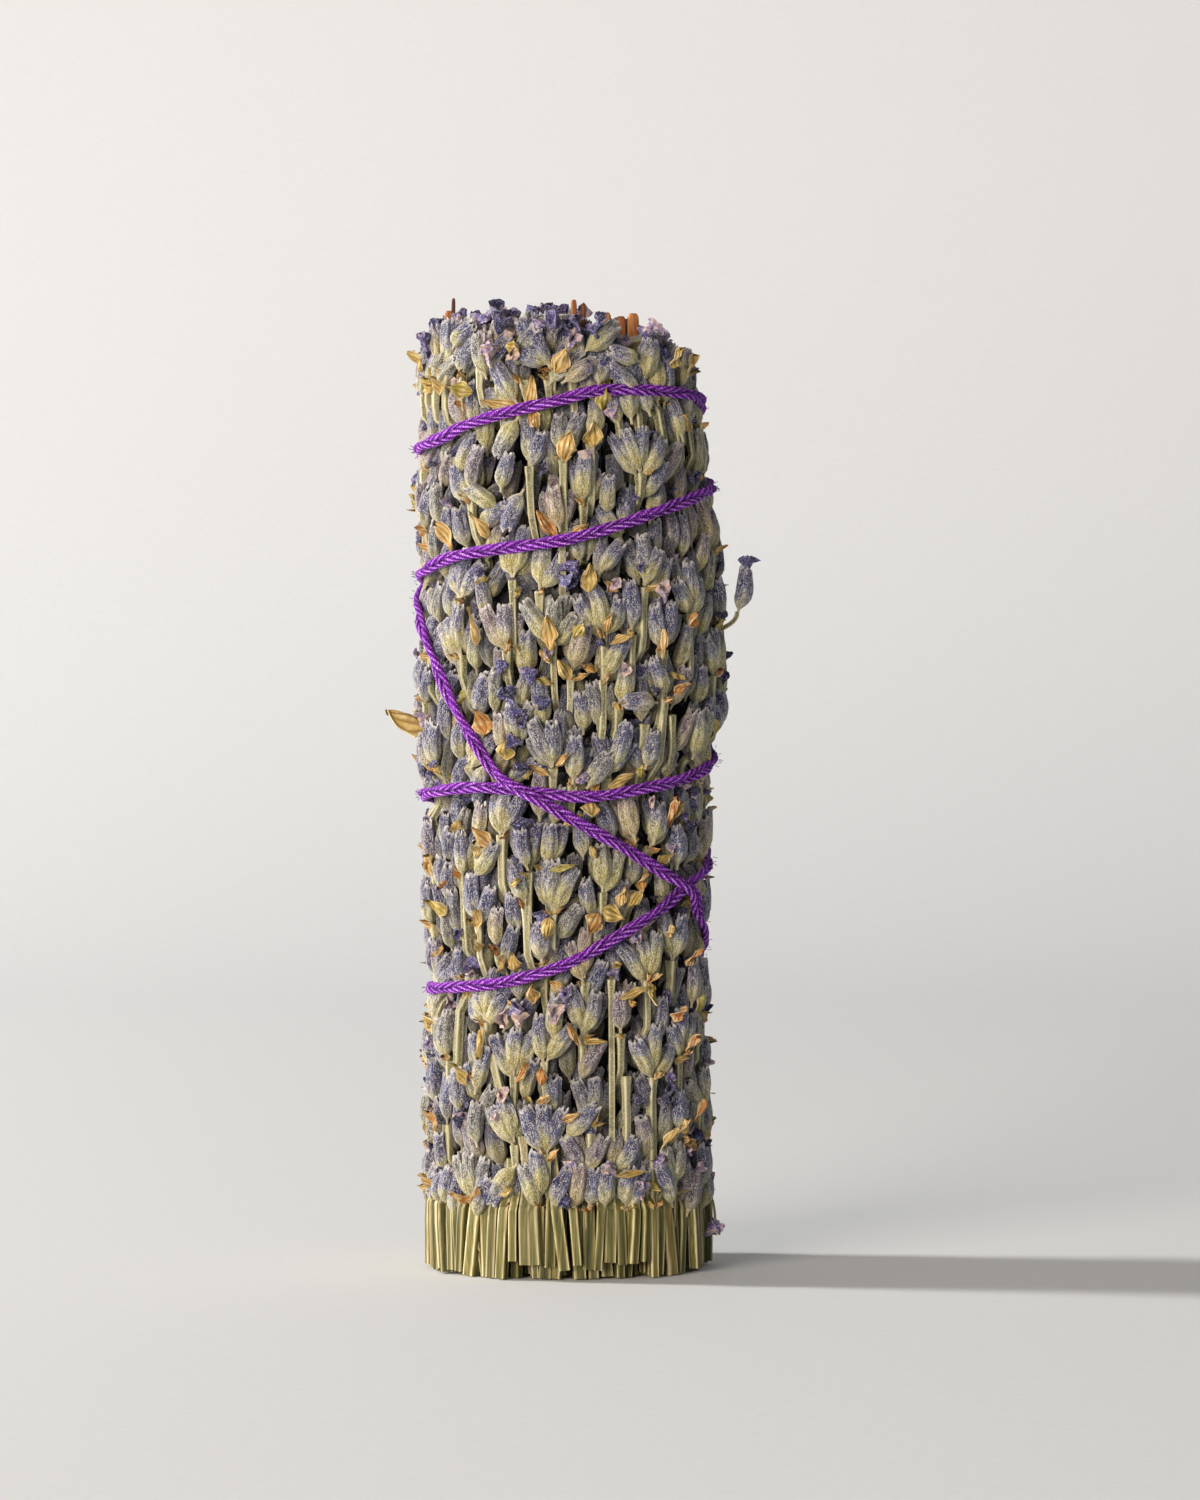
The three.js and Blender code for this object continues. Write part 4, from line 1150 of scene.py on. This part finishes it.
def growInnerSprig(one):
    pile, middle = one["pile"], one["middle"]
    for k in range(4):
        a = one["turn"] + 45 + 90 * k
        heights = np.concatenate([np.arange(0, 12, 2.0), np.arange(12, inner["top"], 6.0)])
        spread = inner["footSpread"] * (1 - 0.45 * smoothstep(heights, 6, 16))
        middles = np.array([innerPoint(middle, a, s, z) for s, z in zip(spread, heights)])
        addStem(pile, middles, rng.uniform(*inner["stemWidth"]), outwards(a), rng.uniform(-0.4, 0.4),
                tint=rng.random(), age=0.7 * rng.random(), along=smoothstep(heights, 8, 20)[:, None])
    flowers = inner["flowers"]
    for height in np.arange(flowers["from"], flowers["to"], flowers["pitch"]):
        phase = rng.uniform(0, 60)
        for a in np.arange(0, 360, 60):
            start = height + rng.uniform(-1.2, 1.2)
            foot = innerPoint(middle, a + phase, 0.8, start)
            tip = innerPoint(middle, a + phase + rng.uniform(-12, 12), inner["reach"] - 1.0,
                             start + flowers["length"])
            addCalyx(pile, foot, tip, outwards(a + phase), flowers["width"], rng.random(), rng.random(),
                     flowers["shade"], False)


for one in innerSprigs:
    growInnerSprig(one)
print("inner sprigs grown")

# The crown: cups over the whole top, each in the pile of the sprig below it.
crown = {
    "cups": 250,
    "out": 14.4,
    "rimRise": -0.5,
    "middle": 99.9,
    "slope": 0.13,  # the middle is lower to the right
    "uneven": 1.8,
    "lying": 0.4,  # share of the cups that lie over
    "lyingWithin": 13.2,
    "lyingAngle": (60, 85),
    "standingAngle": (0, 45),
    "notch": {"turns": (8, 40), "outFrom": 4.5, "top": 94.2},  # lets the broken stems show
    "corollaShare": 0.33,
    # painted shade, some cups darker at random as gaps in the crown
    "shades": [0, 0, 0, 0.15, 0.35],
    "outwardFrom": 10.0,
    "outerFrom": 12.0,  # distance out from which the outer sprigs carry it
}


def crownPile(spot):
    out = math.hypot(spot[0], spot[1])
    if out > crown["outerFrom"]:
        return pileAt(math.degrees(math.atan2(spot[0], -spot[1])))
    return min(innerSprigs, key=lambda one: np.linalg.norm(one["middle"][:2] - spot[:2]))["pile"]


def growCrown():
    golden = 180 * (3 - math.sqrt(5))
    notch = crown["notch"]
    for k in range(crown["cups"]):
        out = crown["out"] * math.sqrt((k + 0.5) / crown["cups"])
        turn = (k * golden + rng.uniform(-5, 5) + 180) % 360 - 180
        dome = 1 - (out / crown["out"]) ** 2
        edge = topAt(turn) + crown["rimRise"]
        middle = crown["middle"] - crown["slope"] * max(0, out * math.sin(math.radians(turn)))
        top = edge + (middle - edge) * dome - crown["uneven"] * rng.random() ** 1.5
        if notch["turns"][0] < turn < notch["turns"][1] and out > notch["outFrom"]:
            top = min(top, notch["top"])
        lying = rng.random() < crown["lying"] and out < crown["lyingWithin"]
        angle = math.radians(rng.uniform(*crown["lyingAngle" if lying else "standingAngle"]))
        way = rng.uniform(-180, 180)
        if out > crown["outwardFrom"]:
            way = turn + rng.choice([-1, 1]) * rng.uniform(50, 95)  # the foot stays inside
        direction = math.sin(angle) * outwards(way) + np.array([0, 0, math.cos(angle)])
        length = rng.uniform(*calyx["length"])
        spot = at(turn, out, top - (0.6 if lying else 0))
        foot = spot - direction * length * (0.5 if lying else 1)
        tip = foot + direction * length
        pile = crownPile(spot)
        facing = outwards(turn) if not lying else np.array([0, 0, 1.0])
        addCalyx(pile, foot, tip, facing, rng.uniform(*calyx["width"]), rng.random(), rng.random(),
                 rng.choice(crown["shades"]))
        if rng.random() < crown["corollaShare"]:
            addCorolla(pile, tip - 0.2 * direction, direction, facing, rng.uniform(0.7, 1.05),
                       rng.uniform(0.1, 0.75))


growCrown()
print("crown grown")

# Broken brown stems that stand up out of the crown: height of the end, place beside the
# sprig's middle, width and tint of each.
broken = {
    "outer_sprig_06": [(100.1, 0.0, 0.95, 0.12), (101.4, 0.5, 0.4, -0.25)],
    "middle_sprig_05": [(101.0, 0.9, 0.6, 0.05), (100.6, 1.5, 0.5, -0.1)],
    "middle_sprig_06": [(99.8, -1.3, 1.1, 0.2), (99.4, 0.0, 1.0, 0.05), (99.7, 1.2, 1.2, 0.25)],
}
brokenStart = 90  # the height at which a broken stem is over its place


def growBroken(pile, node, middle):
    for top, beside, width, tint in broken.get(node, []):
        heights = np.array([brokenStart - 6, brokenStart, brokenStart + 5, top - 1.0, top - 0.3, top])
        lean = rng.uniform(-0.03, 0.03)
        middles = np.array([middle + [beside + lean * (z - brokenStart), 0, z] for z in heights])
        widths = width * np.array([1, 1, 1, 1, 0.9, 0.6])
        addStem(pile, middles, widths, outwards(0), 0.3, "twig", "twig", tint=tint, age=0.4, along=0.2)


for i, pile in enumerate(outerPiles):
    node = f"outer_sprig_{i + 1:02d}"
    growBroken(pile, node, at(outerTurns[i], outlineAt(92)[0] - 3.1, 92) * [1, 1, 0])
    makePiece(f"{outer['pieces']}_{i + 1:02d}", pile, node)
for one in innerSprigs:
    growBroken(one["pile"], one["node"], one["middle"])
    makePiece(one["piece"], one["pile"], one["node"])
print("sprigs made")


def evenly(points, step):
    lengths = np.concatenate([[0], np.cumsum(np.linalg.norm(np.diff(points, axis=0), axis=1))])
    places = np.linspace(0, lengths[-1], max(2, int(lengths[-1] / step)) + 1)
    return np.stack([np.interp(places, lengths, points[:, k]) for k in range(3)], 1), places


def smoothed(points, rounds=4):
    for _ in range(rounds):
        points[1:-1] = (points[:-2] + 2 * points[1:-1] + points[2:]) / 4
    return points


# Two soft plies, each of a few threads, laid side by side along a path. They part at a
# frayed end.
def addPlies(pile, points, fray=False, hub=None):
    points, places = evenly(points, cord["step"])
    along = np.gradient(points, axis=0)
    along /= np.linalg.norm(along, axis=1)[:, None]
    out = points - (hub if hub is not None else points * [0, 0, 1])
    out -= (out * along).sum(1)[:, None] * along
    out /= np.linalg.norm(out, axis=1)[:, None]
    side = np.cross(along, out)
    radius = cord["plyRadius"] * cord["width"]
    apart = cord["width"] / 2 - radius
    opening, taper = np.ones(len(places)), np.ones(len(places))
    if fray:
        frayed = cord["fray"]
        opening += frayed["opening"] * smoothstep(places, places[-1] - frayed["length"], places[-1])
        taper[-1] = frayed["taper"]
    rockBy, rockLength = cord["rock"]
    rocked = np.pi / 2 + rockBy * np.sin(2 * np.pi * places / rockLength)
    around = 2 * np.pi * np.arange(cord["sides"]) / cord["sides"]
    for k in range(cord["plies"]):
        a = rocked + 2 * np.pi * k / cord["plies"]
        normal = np.cos(a)[:, None] * out + np.sin(a)[:, None] * side
        turned = np.cross(along, normal)
        middle = points + normal * (apart * opening)[:, None]
        hand = 1 - 2 * k  # the threads of the two plies slant towards each other
        crest = np.cos(cord["threads"] * (around[None, :] + a[:, None] - np.pi / 2)
                       - hand * cord["threads"] * 2 * np.pi * places[:, None] / cord["threadPitch"])
        swell = np.interp(places, places[::9], [rng.uniform(-1, 1) for _ in places[::9]])
        size = radius * (taper * (1 + cord["uneven"] * swell))[:, None] * (1 + cord["threadDepth"] * crest)
        rings = (middle[:, None, :] + (size * np.cos(around))[..., None] * normal[:, None, :]
                 + (size * np.sin(around))[..., None] * turned[:, None, :])
        # The rib marks the raised threads for their painted highlight and shade, and the tint the side of
        # each ply that faces the other one, for the painted shade there.
        addShell(pile, rings, "cotton", along=places[:, None], rib=crest,
                 tint=np.clip((np.cos(around) + 0.75) / 0.5, 0, 1)[None, :])
    return places[-1], points, out


# Short loose fibres that stand off the cord.
def addFuzz(pile, points, out):
    fuzz = cord["fuzz"]
    for _ in range(fuzz["count"]):
        k = rng.randrange(len(points))
        lie = unit(out[k] + np.array([rng.gauss(0, 0.8) for _ in range(3)]))
        start = points[k] + 0.45 * cord["width"] * unit(lie + out[k])
        end = start + lie * rng.uniform(*fuzz["length"]) + 0.1 * out[k]
        middles = bentPath(start, (start + end) / 2 + 0.1 * unit(np.cross(lie, out[k])), end, 4)
        addStem(pile, middles, fuzz["width"], unit(np.cross(lie, [0.3, 0.5, 0.81])), 0.0, "cotton", "cotton",
                tint=1.0)


# A simple knot: one closed loop that passes over and under itself.
def addKnot(pile):
    knot = cord["knot"]
    t = np.linspace(0, 2 * np.pi, 60)
    loop = np.stack([(np.sin(t) + 2 * np.sin(2 * t)) * 1.1, 0.8 * np.sin(3 * t),
                     (np.cos(t) - 2 * np.cos(2 * t)) * 0.85], 1) * knot["size"]
    hub = at(knot["turn"], outlineAt(knot["height"])[0] + knot["proud"], knot["height"])
    addPlies(pile, loop + hub, hub=hub + [0, -3, 0])


def growCord():
    pile = newPile()
    lift = np.array([liftedOver(p) for p in cordSamples])
    out = outlineAt(cordSamples[:, 1])[0] + cord["rise"] + lift
    length, points, outside = addPlies(pile, smoothed(at(cordSamples[:, 0], out, cordSamples[:, 1])))
    for tail in tailSamples:
        out = outlineAt(tail[:, 1])[0] + cord["rise"] + 0.5 * np.linspace(1, 0, len(tail))
        length += addPlies(pile, at(tail[:, 0], out, tail[:, 1]), fray=True)[0]
    addKnot(pile)
    addFuzz(pile, points, outside)
    makePiece("binding_cord_twine", pile, "binding_cord")
    print("cord wound:", round(length), "mm")


growCord()

# The studio: a pale sweep and soft light from the left. A light has a place and a target in
# metres, the two sides of its panel, watts, a colour and the angle it spreads over.
studio = {
    "floor": "#e4e8eb", "wall": "#dad7d6", "marks": "#bdbbb6",
    "near": -1.6, "bendAt": 0.45, "bendRadius": 0.75, "wallTop": 2.2, "halfWidth": 2.4,
    "lights": {
        "windowKey": [(-1.0, 0.16, 0.42), (0, 0, 0.05), (0.13, 0.13), 14.0, "#fffaf3", 180],
        "frontFill": [(-0.7, -1.15, 0.28), (0, 0, 0.05), (0.7, 0.5), 19.8, "#ffefdf", 180],
        "wallWash": [(0.0, 0.4, 1.25), (0, 1.15, 0.2), (1.8, 0.6), 1.6, "#fffcfb", 80],
    },
    "air": ("#eceef2", 0.21),  # colour and strength of the light from all around
}


def makeSweep():
    near, bend, radius = studio["near"], studio["bendAt"], studio["bendRadius"]
    rows = [(near, 0.0), (0.0, 0.0)]
    rows += [(bend + radius * math.sin(a), radius - radius * math.cos(a))
             for a in np.linspace(0, math.pi / 2, 24)]
    rows.append((bend + radius, studio["wallTop"]))
    points = [(x, y, z) for y, z in rows for x in (-studio["halfWidth"], studio["halfWidth"])]
    faces = [(2 * k, 2 * k + 1, 2 * k + 3, 2 * k + 2) for k in range(len(rows) - 1)]
    mesh = bpy.data.meshes.new("studioSweep")
    mesh.from_pydata(points, [], faces)
    mesh.shade_smooth()
    material, tree, shader, own = newMaterial("studioSweepMatt", Roughness=0.9, Specular_IOR_Level=0.2)
    height = addNode(tree, "SeparateXYZ", {0: own["place"]}, out="Z")
    marks = addNode(tree, "TexNoise", {"Vector": own["place"], "Scale": perMm(1.2), "Detail": 3.0})
    colour = addCoats(tree, studio["floor"], [
        (height, 0.0, 0.5, 1.0, studio["wall"]), (marks, 0.4, 0.7, 0.06, studio["marks"])])
    tree.links.new(colour, shader["Base Color"])
    mesh.materials.append(material)
    made = bpy.data.objects.new("studioSweep", mesh)
    scene.collection.objects.link(made)


def addLight(name, place, target, size, power, colour, spread):
    data = bpy.data.lights.new(name, "AREA")
    data.shape = "RECTANGLE"
    data.size, data.size_y = size
    data.energy = power
    data.spread = math.radians(spread)
    data.color = linear(colour)[:3]
    made = bpy.data.objects.new(name, data)
    made.location = place
    made.rotation_euler = (Vector(target) - Vector(place)).to_track_quat("-Z", "Y").to_euler()
    scene.collection.objects.link(made)


def addAir(colour, strength):
    world = bpy.data.worlds.new("studioAir")
    world.use_nodes = True
    background = world.node_tree.nodes["Background"].inputs
    background["Color"].default_value = linear(colour)
    background["Strength"].default_value = strength
    scene.world = world


makeSweep()
for name, settings in studio["lights"].items():
    addLight(name, *settings)
addAir(*studio["air"])
scene.view_settings.view_transform = "Standard"
print("studio lit")
